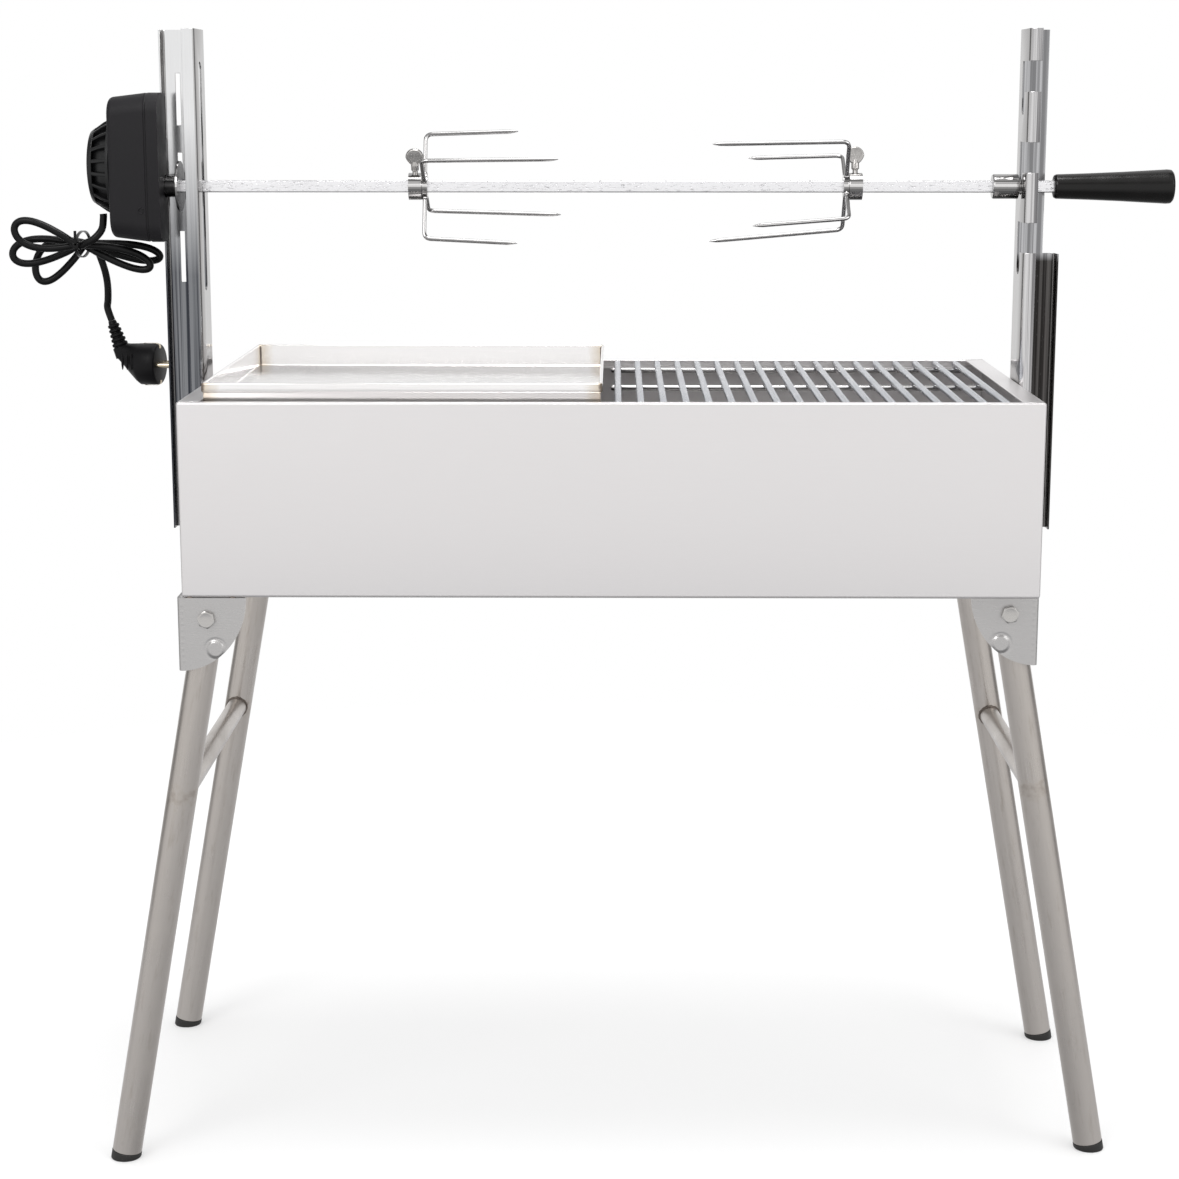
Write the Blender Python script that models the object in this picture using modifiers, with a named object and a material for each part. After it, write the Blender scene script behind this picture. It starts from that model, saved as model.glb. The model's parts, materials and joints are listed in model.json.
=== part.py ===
"""Charcoal rotisserie spit roaster with folding legs.

Frame: metres, +Z up, origin on the floor under the middle of the whole object's box.
+X runs along the spit from the motor to the handle, -Y is the cook's side. X values below
are measured from the middle of the trough, and MIDDLE_SHIFT moves the lot at the end.
"""

import math

import bmesh
import bpy
from mathutils import Matrix, Vector

# ---------------------------------------------------------------- driving dimensions
GAP = 0.0003                 # clearance between neighbouring pieces
SHEET = 0.0015               # stainless sheet thickness
STAGGER = 0.0001             # keeps joined faces out of one plane
MIDDLE_SHIFT = 0.02335       # trough's middle to the right of the whole object's middle

TROUGH_LENGTH = 0.700
TROUGH_DEPTH = 0.350
TROUGH_HEIGHT = 0.160
RIM_Z = 0.654                # height of the trough's rim above the floor
SIDE_LIP = 0.008             # inward lip along the front and back
END_LIP = 0.018              # inward lip at the two ends
CORNER_BEND = 0.0025

RAIL_TOP = RIM_Z - 0.0063    # ledge that carries the pan and the grate
RAIL_WIDTH = 0.014
RAIL_DROP = 0.010

PAN_LEFT = -0.331
PAN_RIGHT = -0.0065
PAN_HALF_DEPTH = 0.1640
PAN_TOP = RIM_Z + 0.0145
PAN_HEM = 0.007

GRATE_FIRST = 0.006
GRATE_LAST = 0.321
GRATE_BARS = 18
GRATE_BAR_RADIUS = 0.003
GRATE_ROD_RADIUS = 0.0025
GRATE_HALF_DEPTH = 0.1635
GRATE_ROD_Y = (-0.145, 0.0, 0.145)

COAL_BARS = 9
COAL_HALF_LENGTH = 0.330
COAL_HALF_DEPTH = 0.150
COAL_STAND = 0.030

POST_FACE = TROUGH_LENGTH / 2 + 0.0008   # inner face of each post
POST_HALF_DEPTH = 0.026
POST_BOTTOM = 0.520
POST_TOP = 0.952
POST_FRONT_FLANGE = 0.011
POST_BACK_FLANGE = 0.037
POST_UPPER_FLANGE = 0.025    # back flange of the notched post above its step
POST_LIP = 0.0145
POST_BEND = 0.003
POST_STEP_Z = 0.762          # where the notched post loses its outer lip
POST_BOLT_Z = (0.545, 0.615)
POST_NUT_HEIGHT = 0.005

SPIT_Z = 0.820
LEVEL_PITCH = 0.0675         # step between the three spit heights
SPIT_SIDE = 0.010
SPIT_LEFT = -0.412
SPIT_RIGHT = 0.455

BUSH_RADIUS = 0.0105
BUSH_NECK = 0.0064
HANDLE_START = 0.379
HANDLE_LENGTH = 0.1025

FORK_RADIUS = 0.0465         # distance from the spit's axis to a tine
WIRE_RADIUS = 0.0018
COLLAR_RADIUS = 0.0115
COLLAR_WIDTH = 0.0115
TINE_FLARE = math.radians(2.5)
TINE_ROOT = 0.0082           # where a tine starts inside the collar
TINE_BEND = 0.006

MOTOR_FACE = -0.3903         # side of the motor that lies against the post's lip
MOTOR_NOSE = -0.3830         # front part of its base, which reaches past the lip
MOTOR_SEAM = -0.3930
MOTOR_OUTER = -0.4270
MOTOR_Y = 0.015              # the output shaft is off the middle of the housing
MOTOR_HALF_WIDTH = 0.050
MOTOR_Z = (0.7735, 0.8990)
DOME_RADIUS = 0.043
DOME_DEPTH = 0.0215

LEG_RADIUS = 0.0125
LEG_WALL = 0.0015
PIVOT_X = 0.330
PIVOT_DROP = 0.018           # from the trough's floor down to the leg bolts
FOOT_X = 0.416
LEG_OVERHANG = 0.008         # tube above its bolt
LEG_Y = {"left": 0.1582, "right": 0.1307}   # the right pair folds inside the left pair
BRACE_DROP = 0.155           # along the leg from the bolt to the cross brace
FOOT_PAD = 0.004
PLATE_GAP = 0.0013           # between a leg and its bracket
BRACKET_WIDTH = 0.055
BRACKET_HEIGHT = 0.061
BRACKET_INSET = 0.0025       # bracket's outer wall outside the trough's end
BOLT_RADIUS = 0.004

CORD_RADIUS = 0.0032
BUNDLE = Vector((-0.463, 0.030, 0.769))
PLUG = Vector((-0.4125, 0.0560, 0.6612))
PLUG_TURN = math.radians(-11.0)
RELIEF_FOOT = Vector((-0.0240, 0.0, 0.0061))   # cord grip, in the plug's own frame
RELIEF_TOP = Vector((-0.0345, 0.0, 0.0377))

TROUGH_FLOOR = RIM_Z - TROUGH_HEIGHT
PIVOT_Z = TROUGH_FLOOR - PIVOT_DROP
SPLAY = math.atan2(FOOT_X - PIVOT_X, PIVOT_Z)
LEG_REACH = math.hypot(FOOT_X - PIVOT_X, PIVOT_Z)

for old in list(bpy.data.objects):
    bpy.data.objects.remove(old, do_unlink=True)

parts = bpy.data.collections.new("rotisserie_spit_roaster")
cutters = bpy.data.collections.new("cutters")
bpy.context.scene.collection.children.link(parts)
bpy.context.scene.collection.children.link(cutters)


# ---------------------------------------------------------------- materials
def material(name, colour, roughness, metallic):
    made = bpy.data.materials.new(name)
    made.use_nodes = True
    shader = made.node_tree.nodes["Principled BSDF"]
    shader.inputs["Base Color"].default_value = (*colour, 1.0)
    shader.inputs["Roughness"].default_value = roughness
    shader.inputs["Metallic"].default_value = metallic
    return made


BRUSHED = material("brushed_steel", (0.62, 0.60, 0.57), 0.38, 1.0)
POLISHED = material("polished_steel", (0.72, 0.71, 0.70), 0.15, 1.0)
TUBE = material("leg_steel", (0.50, 0.47, 0.43), 0.42, 1.0)
BARE = material("spit_steel", (0.66, 0.66, 0.67), 0.30, 1.0)
BLACK = material("black_plastic", (0.020, 0.020, 0.022), 0.45, 0.0)
GLOSS = material("gloss_black", (0.012, 0.012, 0.012), 0.20, 0.0)
RUBBER = material("black_rubber", (0.025, 0.025, 0.025), 0.70, 0.0)
BRASS = material("plug_brass", (0.62, 0.50, 0.33), 0.25, 1.0)


# ---------------------------------------------------------------- modelling helpers
def add(name, mesh, finish, location=(0, 0, 0), rotation=(0, 0, 0), parent=None):
    """Put a mesh in the parts collection, or among the cutters when it has no finish."""
    made = bpy.data.objects.new(name, mesh)
    (parts if finish else cutters).objects.link(made)
    if finish:
        mesh.materials.append(finish)
    else:
        made.hide_render = True
        made.display_type = "WIRE"
    made.location = location
    made.rotation_euler = rotation
    made.parent = parent
    return made


def empty(name, location):
    made = bpy.data.objects.new(name, None)
    parts.objects.link(made)
    made.location = location
    return made


def finish_mesh(name, work):
    mesh = bpy.data.meshes.new(name)
    work.to_mesh(mesh)
    work.free()
    return mesh


def box_mesh(name, low, high):
    """Axis-aligned box between two corners."""
    low, high = Vector(low), Vector(high)
    work = bmesh.new()
    bmesh.ops.create_cube(work, size=1.0)
    bmesh.ops.scale(work, vec=high - low, verts=work.verts)
    bmesh.ops.translate(work, vec=(low + high) / 2, verts=work.verts)
    return finish_mesh(name, work)


def rod_mesh(name, rods, segments):
    """Straight round bars, each (start, end, radius), in one mesh."""
    work = bmesh.new()
    for start, end, radius in rods:
        start, end = Vector(start), Vector(end)
        along = end - start
        turn = along.to_track_quat("Z", "Y").to_matrix().to_4x4()
        place = Matrix.Translation((start + end) / 2) @ turn
        bmesh.ops.create_cone(work, cap_ends=True, segments=segments, radius1=radius,
                              radius2=radius, depth=along.length, matrix=place)
    return finish_mesh(name, work)


def turned(name, profile, finish, steps=20, closed=False, **place):
    """Solid of revolution about local Z; the profile runs down its outer side."""
    work = bmesh.new()
    points = [work.verts.new((radius, 0.0, height)) for radius, height in profile]
    for first, second in zip(points, points[1:]):
        work.edges.new((first, second))
    if closed:
        work.edges.new((points[-1], points[0]))
    made = add(name, finish_mesh(name, work), finish, **place)
    screw = made.modifiers.new("turn", "SCREW")
    screw.steps = steps
    screw.render_steps = steps
    screw.use_merge_vertices = True
    screw.merge_threshold = 0.00001
    screw.use_smooth_shade = True
    return made


def boolean(target, tool, operation):
    change = target.modifiers.new(operation.lower(), "BOOLEAN")
    change.operation = operation
    change.object = tool


def cut(target, tool):
    boolean(target, tool, "DIFFERENCE")


def join(target, tool):
    boolean(target, tool, "UNION")


def cutter_box(name, low, high):
    return add(name, box_mesh(name, low, high), None)


def cutter_rod(name, start, end, radius, segments=16):
    return add(name, rod_mesh(name, [(start, end, radius)], segments), None)


def bevel(target, width, segments=2, angle=math.radians(40)):
    soften = target.modifiers.new("soft_edges", "BEVEL")
    soften.width = width
    soften.segments = segments
    soften.limit_method = "ANGLE"
    soften.angle_limit = angle


def rounded(points, radius, segments=3):
    """Open path whose inner corners become arcs."""
    path = [Vector(points[0])]
    for before, corner, after in zip(points, points[1:], points[2:]):
        corner = Vector(corner)
        to_before = (Vector(before) - corner).normalized()
        to_after = (Vector(after) - corner).normalized()
        half = to_before.angle(to_after) / 2
        inset = radius / math.tan(half)
        centre = corner + (to_before + to_after).normalized() * radius / math.sin(half)
        first = (corner + to_before * inset - centre).normalized()
        last = (corner + to_after * inset - centre).normalized()
        for step in range(segments + 1):
            path.append(centre + first.slerp(last, step / segments) * radius)
    path.append(Vector(points[-1]))
    return path


def wire(name, path, radius, finish, sides=2, parent=None, location=(0, 0, 0)):
    """Bent wire or cord along 3D points, as a closed mesh."""
    curve = bpy.data.curves.new(name, "CURVE")
    curve.dimensions = "3D"
    curve.bevel_depth = radius
    curve.bevel_resolution = sides
    curve.use_fill_caps = True
    spline = curve.splines.new("POLY")
    spline.points.add(len(path) - 1)
    for point, place in zip(spline.points, path):
        point.co = (*place, 1.0)
    drawn = bpy.data.objects.new(name + "_curve", curve)
    parts.objects.link(drawn)
    bpy.context.view_layer.update()
    graph = bpy.context.evaluated_depsgraph_get()
    mesh = bpy.data.meshes.new_from_object(drawn.evaluated_get(graph))
    bpy.data.objects.remove(drawn, do_unlink=True)
    work = bmesh.new()
    work.from_mesh(mesh)
    bmesh.ops.remove_doubles(work, verts=work.verts, dist=0.00001)
    work.to_mesh(mesh)
    work.free()
    mesh.materials.clear()
    mesh.shade_smooth()
    return add(name, mesh, finish, parent=parent, location=location)


def plate(name, outline, thickness, finish, **place):
    """Flat outline in local XY with its thickness centred on Z, as a closed mesh."""
    work = bmesh.new()
    rim = [work.verts.new((x, y, -thickness / 2)) for x, y in outline]
    face = work.faces.new(rim)
    swept = bmesh.ops.extrude_face_region(work, geom=[face])["geom"]
    lifted = [item for item in swept if isinstance(item, bmesh.types.BMVert)]
    bmesh.ops.translate(work, vec=(0, 0, thickness), verts=lifted)
    bmesh.ops.recalc_face_normals(work, faces=work.faces)
    return add(name, finish_mesh(name, work), finish, **place)


def hexagon(across_flats):
    reach = across_flats / 2 / math.cos(math.pi / 6)
    return [(reach * math.cos(math.pi * k / 3), reach * math.sin(math.pi * k / 3))
            for k in range(6)]


def hex_bolt(name, flats, head, radius, length, location, rotation, parent=None):
    """Hex bolt: head above local Z = 0, shank running down from it."""
    bolt = plate(name, hexagon(flats), head, BARE, rotation=rotation, parent=parent,
                 location=location)
    bolt.data.transform(Matrix.Translation((0, 0, head / 2)))
    shank = add(name + "_shank", rod_mesh(name + "_shank", [((0, 0, -length), (0, 0, head / 2),
                radius)], 12), None, rotation=rotation, location=location, parent=parent)
    join(bolt, shank)
    return bolt


def hex_nut(name, flats, height, bore, location, rotation, parent=None):
    nut = plate(name, hexagon(flats), height, BARE, rotation=rotation, parent=parent,
                location=location)
    hole = add(name + "_hole", rod_mesh(name + "_hole", [((0, 0, -height), (0, 0, height),
               bore)], 12), None, rotation=rotation, location=location, parent=parent)
    cut(nut, hole)
    return nut


# ---------------------------------------------------------------- trough and what it holds
def build_trough():
    half_x, half_y = TROUGH_LENGTH / 2, TROUGH_DEPTH / 2
    mesh = box_mesh("trough", (-half_x, -half_y, TROUGH_FLOOR), (half_x, half_y, RIM_Z))
    work = bmesh.new()
    work.from_mesh(mesh)
    folds = [edge for edge in work.edges
             if min(vert.co.z for vert in edge.verts) < TROUGH_FLOOR + 0.001]
    bmesh.ops.bevel(work, geom=folds, offset=CORNER_BEND, segments=2, profile=0.5,
                    affect="EDGES")
    work.to_mesh(mesh)
    work.free()
    trough = add("trough", mesh, BRUSHED)
    inside_x, inside_y = half_x - SHEET, half_y - SHEET
    cut(trough, cutter_box("trough_cavity", (-inside_x, -inside_y, TROUGH_FLOOR + SHEET),
                           (inside_x, inside_y, RIM_Z - SHEET)))
    open_x, open_y = half_x - END_LIP, half_y - SIDE_LIP
    cut(trough, cutter_box("trough_mouth", (-open_x, -open_y, RIM_Z - 0.010),
                           (open_x, open_y, RIM_Z + 0.010)))
    for side in (-1, 1):
        for height in POST_BOLT_Z:
            start = (side * (half_x - 0.005), 0, height)
            end = (side * (half_x + 0.005), 0, height)
            cut(trough, cutter_rod("trough_bolt_hole", start, end, 0.0033, 12))


def build_rail(name, side):
    """Angle under the lip: a ledge and the leg that is welded to the trough's wall."""
    wall = TROUGH_DEPTH / 2 - SHEET - GAP
    reach = TROUGH_LENGTH / 2 - SHEET - 0.004
    outline = [(wall, RAIL_TOP), (wall - RAIL_WIDTH, RAIL_TOP),
               (wall - RAIL_WIDTH, RAIL_TOP - SHEET), (wall - SHEET, RAIL_TOP - SHEET),
               (wall - SHEET, RAIL_TOP - RAIL_DROP), (wall, RAIL_TOP - RAIL_DROP)]
    rail = plate(name, [(side * y, z) for y, z in outline], 2 * reach, BRUSHED)
    rail.rotation_euler = (math.pi / 2, 0, math.pi / 2)


def build_pan():
    """Shallow roasting pan with a folded hem round its top."""
    bottom = RAIL_TOP + GAP
    inset = SHEET
    pan = add("roasting_pan", box_mesh("roasting_pan",
              (PAN_LEFT + inset, -PAN_HALF_DEPTH + inset, bottom),
              (PAN_RIGHT - inset, PAN_HALF_DEPTH - inset, PAN_TOP)), POLISHED)
    hem = cutter_box("pan_hem", (PAN_LEFT, -PAN_HALF_DEPTH, PAN_TOP - PAN_HEM),
                     (PAN_RIGHT, PAN_HALF_DEPTH, PAN_TOP))
    join(pan, hem)
    wall = inset + 0.0012
    cut(pan, cutter_box("pan_cavity", (PAN_LEFT + wall, -PAN_HALF_DEPTH + wall, bottom + 0.0012),
                        (PAN_RIGHT - wall, PAN_HALF_DEPTH - wall, PAN_TOP + 0.010)))


def build_grill_grate():
    axis_z = RAIL_TOP + GAP + GRATE_BAR_RADIUS
    pitch = (GRATE_LAST - GRATE_FIRST) / (GRATE_BARS - 1)
    bars = [((GRATE_FIRST + pitch * k, -GRATE_HALF_DEPTH, axis_z),
             (GRATE_FIRST + pitch * k, GRATE_HALF_DEPTH, axis_z), GRATE_BAR_RADIUS)
            for k in range(GRATE_BARS)]
    rod_z = axis_z - GRATE_BAR_RADIUS - GRATE_ROD_RADIUS + 0.0012
    rods = [((GRATE_FIRST - 0.006, y, rod_z), (GRATE_LAST + 0.006, y, rod_z), GRATE_ROD_RADIUS)
            for y in GRATE_ROD_Y]
    grate = add("grill_grate", rod_mesh("grill_grate", bars, 8), BARE)
    join(grate, add("grate_rods", rod_mesh("grate_rods", rods, 8), None))


def build_coal_grate():
    """Raised grate that lets air under the charcoal."""
    foot = TROUGH_FLOOR + SHEET + GAP
    axis_z = foot + COAL_STAND
    pitch = 2 * COAL_HALF_DEPTH / (COAL_BARS - 1)
    bars = [((-COAL_HALF_LENGTH, -COAL_HALF_DEPTH + pitch * k, axis_z),
             (COAL_HALF_LENGTH, -COAL_HALF_DEPTH + pitch * k, axis_z), 0.0035)
            for k in range(COAL_BARS)]
    grate = add("coal_grate", rod_mesh("coal_grate", bars, 6), TUBE)
    edge = COAL_HALF_DEPTH + 0.006
    for number, x in enumerate((-0.26, 0.0, 0.26)):
        stand = cutter_box(f"coal_stand_{number}", (x - 0.002, -edge, foot),
                           (x + 0.002, edge, axis_z - 0.001))
        join(grate, stand)


# ---------------------------------------------------------------- posts
def post_sheet(name, side):
    """Folded upright: front flange, inner web, back flange and outer lip."""
    depth = POST_HALF_DEPTH - SHEET / 2
    near, far = POST_FACE + SHEET / 2, POST_FACE + POST_BACK_FLANGE - SHEET / 2
    corners = [(POST_FACE + POST_FRONT_FLANGE, -depth), (near, -depth), (near, depth),
               (far, depth), (far, POST_HALF_DEPTH - POST_LIP)]
    path = rounded(corners, POST_BEND)
    work = bmesh.new()
    low = [work.verts.new((side * p.x, p.y, POST_BOTTOM)) for p in path]
    high = [work.verts.new((side * p.x, p.y, POST_TOP)) for p in path]
    for k in range(len(path) - 1):
        ring = (low[k], low[k + 1], high[k + 1], high[k])
        work.faces.new(ring if side > 0 else ring[::-1])
    post = add(name, finish_mesh(name, work), POLISHED)
    skin = post.modifiers.new("sheet", "SOLIDIFY")
    skin.thickness = SHEET
    skin.offset = 0.0
    skin.use_even_offset = True
    for height in POST_BOLT_Z:
        start = (side * (POST_FACE - 0.005), 0, height)
        end = (side * (POST_FACE + 0.006), 0, height)
        cut(post, cutter_rod(name + "_bolt_hole", start, end, 0.0033, 12))
    return post


def slot_cutter(name, x_low, x_high, y, z_low, z_high, radius):
    """Round-ended upright slot through a sheet that faces X."""
    outline = []
    for step in range(9):
        turn = math.pi * step / 8
        outline.append((radius * math.cos(turn), z_high - radius + radius * math.sin(turn)))
    for step in range(9):
        turn = math.pi + math.pi * step / 8
        outline.append((radius * math.cos(turn), z_low + radius + radius * math.sin(turn)))
    made = plate(name, outline, x_high - x_low, None)
    made.rotation_euler = (math.pi / 2, 0, math.pi / 2)
    made.location = ((x_low + x_high) / 2, y, 0)
    return made


def build_motor_post():
    post = post_sheet("motor_post", -1)
    web = -POST_FACE
    top, bottom = SPIT_Z + LEVEL_PITCH + 0.0375, SPIT_Z - LEVEL_PITCH - 0.0215
    cut(post, slot_cutter("spit_slot", web - 0.004, web + 0.004, 0, bottom, top, 0.0070))
    for level in (-1, 0, 1):
        middle = SPIT_Z + LEVEL_PITCH * level
        x = web - 0.0235
        cut(post, cutter_box(f"motor_slot_{level + 1}",
                             (x - 0.002, POST_HALF_DEPTH - 0.005, middle - 0.016),
                             (x + 0.002, POST_HALF_DEPTH + 0.005, middle + 0.028)))


def build_notched_post():
    post = post_sheet("notched_post", 1)
    cut(post, cutter_box("post_step", (POST_FACE + POST_UPPER_FLANGE, -0.05, POST_STEP_Z),
                         (POST_FACE + 0.06, 0.05, POST_TOP + 0.01)))
    for level in (-1, 0, 1):
        axis = SPIT_Z + LEVEL_PITCH * level
        reach = 0.0072
        cut(post, cutter_box(f"notch_{level + 1}",
                             (POST_FACE - 0.004, -POST_HALF_DEPTH - 0.01, axis + 0.0122),
                             (POST_FACE + POST_FRONT_FLANGE + 0.002, reach, axis + 0.0376)))
        cut(post, slot_cutter(f"hook_{level + 1}", POST_FACE - 0.003, POST_FACE + 0.004, 0,
                              axis - reach, axis + 0.0250, reach))


def build_post_bolt(name, side, height):
    """Bolt from inside the trough through its end wall and the post, with its nut."""
    start = side * (TROUGH_LENGTH / 2 - SHEET - GAP)
    hex_bolt(name, 0.010, 0.004, 0.003, 0.0105, (start, 0, height),
             (0, -side * math.pi / 2, 0))
    seat = side * (POST_FACE + SHEET + GAP + POST_NUT_HEIGHT / 2)
    hex_nut(name.replace("bolt", "nut"), 0.010, POST_NUT_HEIGHT, 0.003 + GAP,
            (seat, 0, height), (0, math.pi / 2, 0))


# ---------------------------------------------------------------- spit, forks and handle
def x_turned(name, profile, finish, parent, steps=20, closed=False):
    """Turned piece on the spit; the profile's heights are X positions."""
    return turned(name, profile, finish, steps, closed, rotation=(0, math.pi / 2, 0),
                  parent=parent)


def spit_bore(name, low, high, target):
    half = SPIT_SIDE / 2 + GAP
    cut(target, cutter_box(name, (low, -half, SPIT_Z - half), (high, half, SPIT_Z + half)))


def build_spit(axis):
    half = SPIT_SIDE / 2
    rod = add("spit_rod", box_mesh("spit_rod", (SPIT_LEFT, -half, -half),
              (SPIT_RIGHT, half, half)), BARE, parent=axis)
    bevel(rod, 0.0008, 1)
    bush = x_turned("spit_bushing",
                    [(0, 0.3625), (0.0090, 0.3625), (0.0090, 0.3565), (BUSH_NECK, 0.3565),
                     (BUSH_NECK, 0.3485), (BUSH_RADIUS, 0.3485), (BUSH_RADIUS, 0.3275),
                     (BUSH_RADIUS - 0.0010, 0.3265), (0, 0.3265)], POLISHED, axis)
    spit_bore("bushing_bore", 0.320, 0.370, bush)
    end = HANDLE_START + HANDLE_LENGTH
    handle = x_turned("spit_handle",
                      [(0, end), (0.0120, end), (0.0142, end - 0.0020), (0.0146, end - 0.0050),
                       (0.0125, HANDLE_START + 0.045), (0.0104, HANDLE_START + 0.0020),
                       (0.0090, HANDLE_START), (0, HANDLE_START)], GLOSS, axis)
    spit_bore("handle_bore", HANDLE_START - 0.005, SPIT_RIGHT + 0.002, handle)


def fork_tine(name, parent, toward, root_x, angle, length, droop):
    """Wire that leaves the collar sideways, turns along the spit and ends in a point."""
    arm = Vector((0, math.cos(angle), math.sin(angle)))
    ahead = Vector((toward, 0, 0))
    fall = Vector((0, 0, -math.tan(droop)))
    root = Vector((root_x, 0, 0))
    corner = root + arm * FORK_RADIUS
    tip = corner + (ahead + arm * math.tan(TINE_FLARE) + fall) * length
    path = [root + arm * TINE_ROOT, corner - arm * TINE_BEND,
            corner - arm * TINE_BEND * 0.3 + ahead * TINE_BEND * 0.3,
            corner + ahead * TINE_BEND, tip]
    tine = wire(name, path, WIRE_RADIUS, None, parent=parent)
    for vert in tine.data.vertices:
        if (vert.co - tip).length < WIRE_RADIUS * 1.2:
            vert.co = tip + (vert.co - tip) * 0.25
    return tine


def build_fork(side, axis, collar_x, toward, angles, lengths, screw_angle, droop):
    """Collar with four welded tines, two long and two short; toward is where they point."""
    base = empty(f"fork_{side}_slide", (collar_x, 0, 0))
    base.parent = axis
    half = COLLAR_WIDTH / 2
    shoulder = half + 2 * WIRE_RADIUS + 0.0010
    profile = [(0, half), (COLLAR_RADIUS, half), (COLLAR_RADIUS, -half), (0.0100, -half),
               (0.0100, -shoulder), (0, -shoulder)]
    if toward > 0:
        profile = [(radius, -height) for radius, height in profile[::-1]]
    fork = x_turned(f"spit_fork_{side}", profile, POLISHED, base)
    root_x = toward * (half + WIRE_RADIUS + 0.0004)
    for kind, angle, length in zip(("long", "short"), angles, lengths):
        for number in range(2):
            join(fork, fork_tine(f"tine_{kind}_{number}_{side}", base, toward, root_x,
                                 angle + number * math.pi, length, droop))
    spit_bore(f"collar_bore_{side}", collar_x - 0.02, collar_x + 0.02, fork)
    radial = Vector((0, math.cos(screw_angle), math.sin(screw_angle)))
    centre = Vector((collar_x, 0, SPIT_Z))
    cut(fork, cutter_rod(f"screw_bore_{side}", centre + radial * 0.004,
                         centre + radial * 0.02, 0.0028, 12))


def build_thumb_screw(side, axis, collar_x, screw_angle):
    """Spade-headed screw that clamps a fork's collar on the spit."""
    turn = empty(f"thumb_screw_{side}_axis", (collar_x, 0, 0))
    turn.parent = axis
    turn.rotation_euler = (screw_angle - math.pi / 2, 0, 0)
    head = add(f"thumb_screw_{side}", rod_mesh(f"thumb_screw_{side}", [((0, -0.0022, 0.0265),
               (0, 0.0022, 0.0265), 0.0078)], 14), POLISHED, parent=turn)
    shank = add(f"thumb_shank_{side}", rod_mesh("thumb_shank", [((0, 0, 0.0066), (0, 0, 0.0230),
                0.0024)], 10), None, parent=turn)
    join(head, shank)


# ---------------------------------------------------------------- motor, cord and plug
def drafted_box(name, outer_x, inner_x, narrow, finish):
    """Moulded box whose outer end is smaller than the end at inner_x."""
    low, high = MOTOR_Z
    work = bmesh.new()
    bmesh.ops.create_cube(work, size=1.0)
    for vert in work.verts:
        outer = vert.co.x < 0
        shrink = narrow if outer else 0.0
        vert.co.x = outer_x if outer else inner_x
        vert.co.y = MOTOR_Y + math.copysign(MOTOR_HALF_WIDTH - shrink, vert.co.y)
        vert.co.z = high - shrink if vert.co.z > 0 else low + shrink
    rails = [edge for edge in work.edges
             if abs(edge.verts[0].co.x - edge.verts[1].co.x) > 0.001]
    bmesh.ops.bevel(work, geom=rails, offset=0.016, segments=4, profile=0.5,
                    affect="EDGES")
    return add(name, finish_mesh(name, work), finish)


def build_motor():
    low, high = MOTOR_Z
    middle = (low + high) / 2
    housing = drafted_box("motor_housing", MOTOR_OUTER, MOTOR_SEAM, 0.004, BLACK)
    cut(housing, cutter_box("motor_cavity", (MOTOR_OUTER + 0.0025, MOTOR_Y - 0.040, low + 0.012),
                            (MOTOR_SEAM + 0.01, MOTOR_Y + 0.040, high - 0.012)))
    cover = drafted_box("motor_base", MOTOR_SEAM + GAP, MOTOR_NOSE, 0.0, BLACK)
    cut(cover, cutter_rod("motor_base_hole", (MOTOR_SEAM - 0.01, 0, SPIT_Z),
                          (MOTOR_NOSE + 0.01, 0, SPIT_Z), 0.0100, 16))
    rebate = POST_HALF_DEPTH - POST_LIP - 0.0045
    cut(cover, cutter_box("motor_rebate", (MOTOR_FACE, rebate, low - 0.01),
                          (MOTOR_NOSE + 0.01, MOTOR_Y + 0.060, high + 0.01)))
    dome = turned("motor_vent_cap",
                  [(0, DOME_DEPTH), (0.0290, DOME_DEPTH - 0.0005), (0.0320, DOME_DEPTH - 0.003),
                   (0.0388, DOME_DEPTH - 0.0125), (DOME_RADIUS, 0), (DOME_RADIUS - 0.002, 0),
                   (0.0368, DOME_DEPTH - 0.0130), (0.0295, DOME_DEPTH - 0.005),
                   (0, DOME_DEPTH - 0.003)],
                  BLACK, steps=24, location=(MOTOR_OUTER - GAP, MOTOR_Y, middle),
                  rotation=(0, -math.pi / 2, 0))
    for number in range(16):
        turn = 2 * math.pi * (number + 0.5) / 16
        radial = Vector((0, math.cos(turn), math.sin(turn)))
        centre = Vector((MOTOR_OUTER - 0.010, MOTOR_Y, middle))
        vent = add(f"vent_{number}", box_mesh("vent", (-0.005, -0.0022, 0.031),
                   (0.005, 0.0022, 0.048)), None, location=centre)
        vent.rotation_euler = (math.atan2(-radial.y, radial.z), 0, 0)
        cut(dome, vent)
    gears = add("gear_motor", box_mesh("gear_motor",
                (MOTOR_OUTER + 0.003, MOTOR_Y - 0.030, SPIT_Z - 0.028),
                (MOTOR_SEAM - 0.004, MOTOR_Y + 0.030, SPIT_Z + 0.045)), TUBE)
    cut(gears, cutter_rod("gear_motor_bore", (SPIT_LEFT - 0.0022, 0, SPIT_Z),
                          (MOTOR_NOSE, 0, SPIT_Z), 0.0100, 16))


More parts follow.
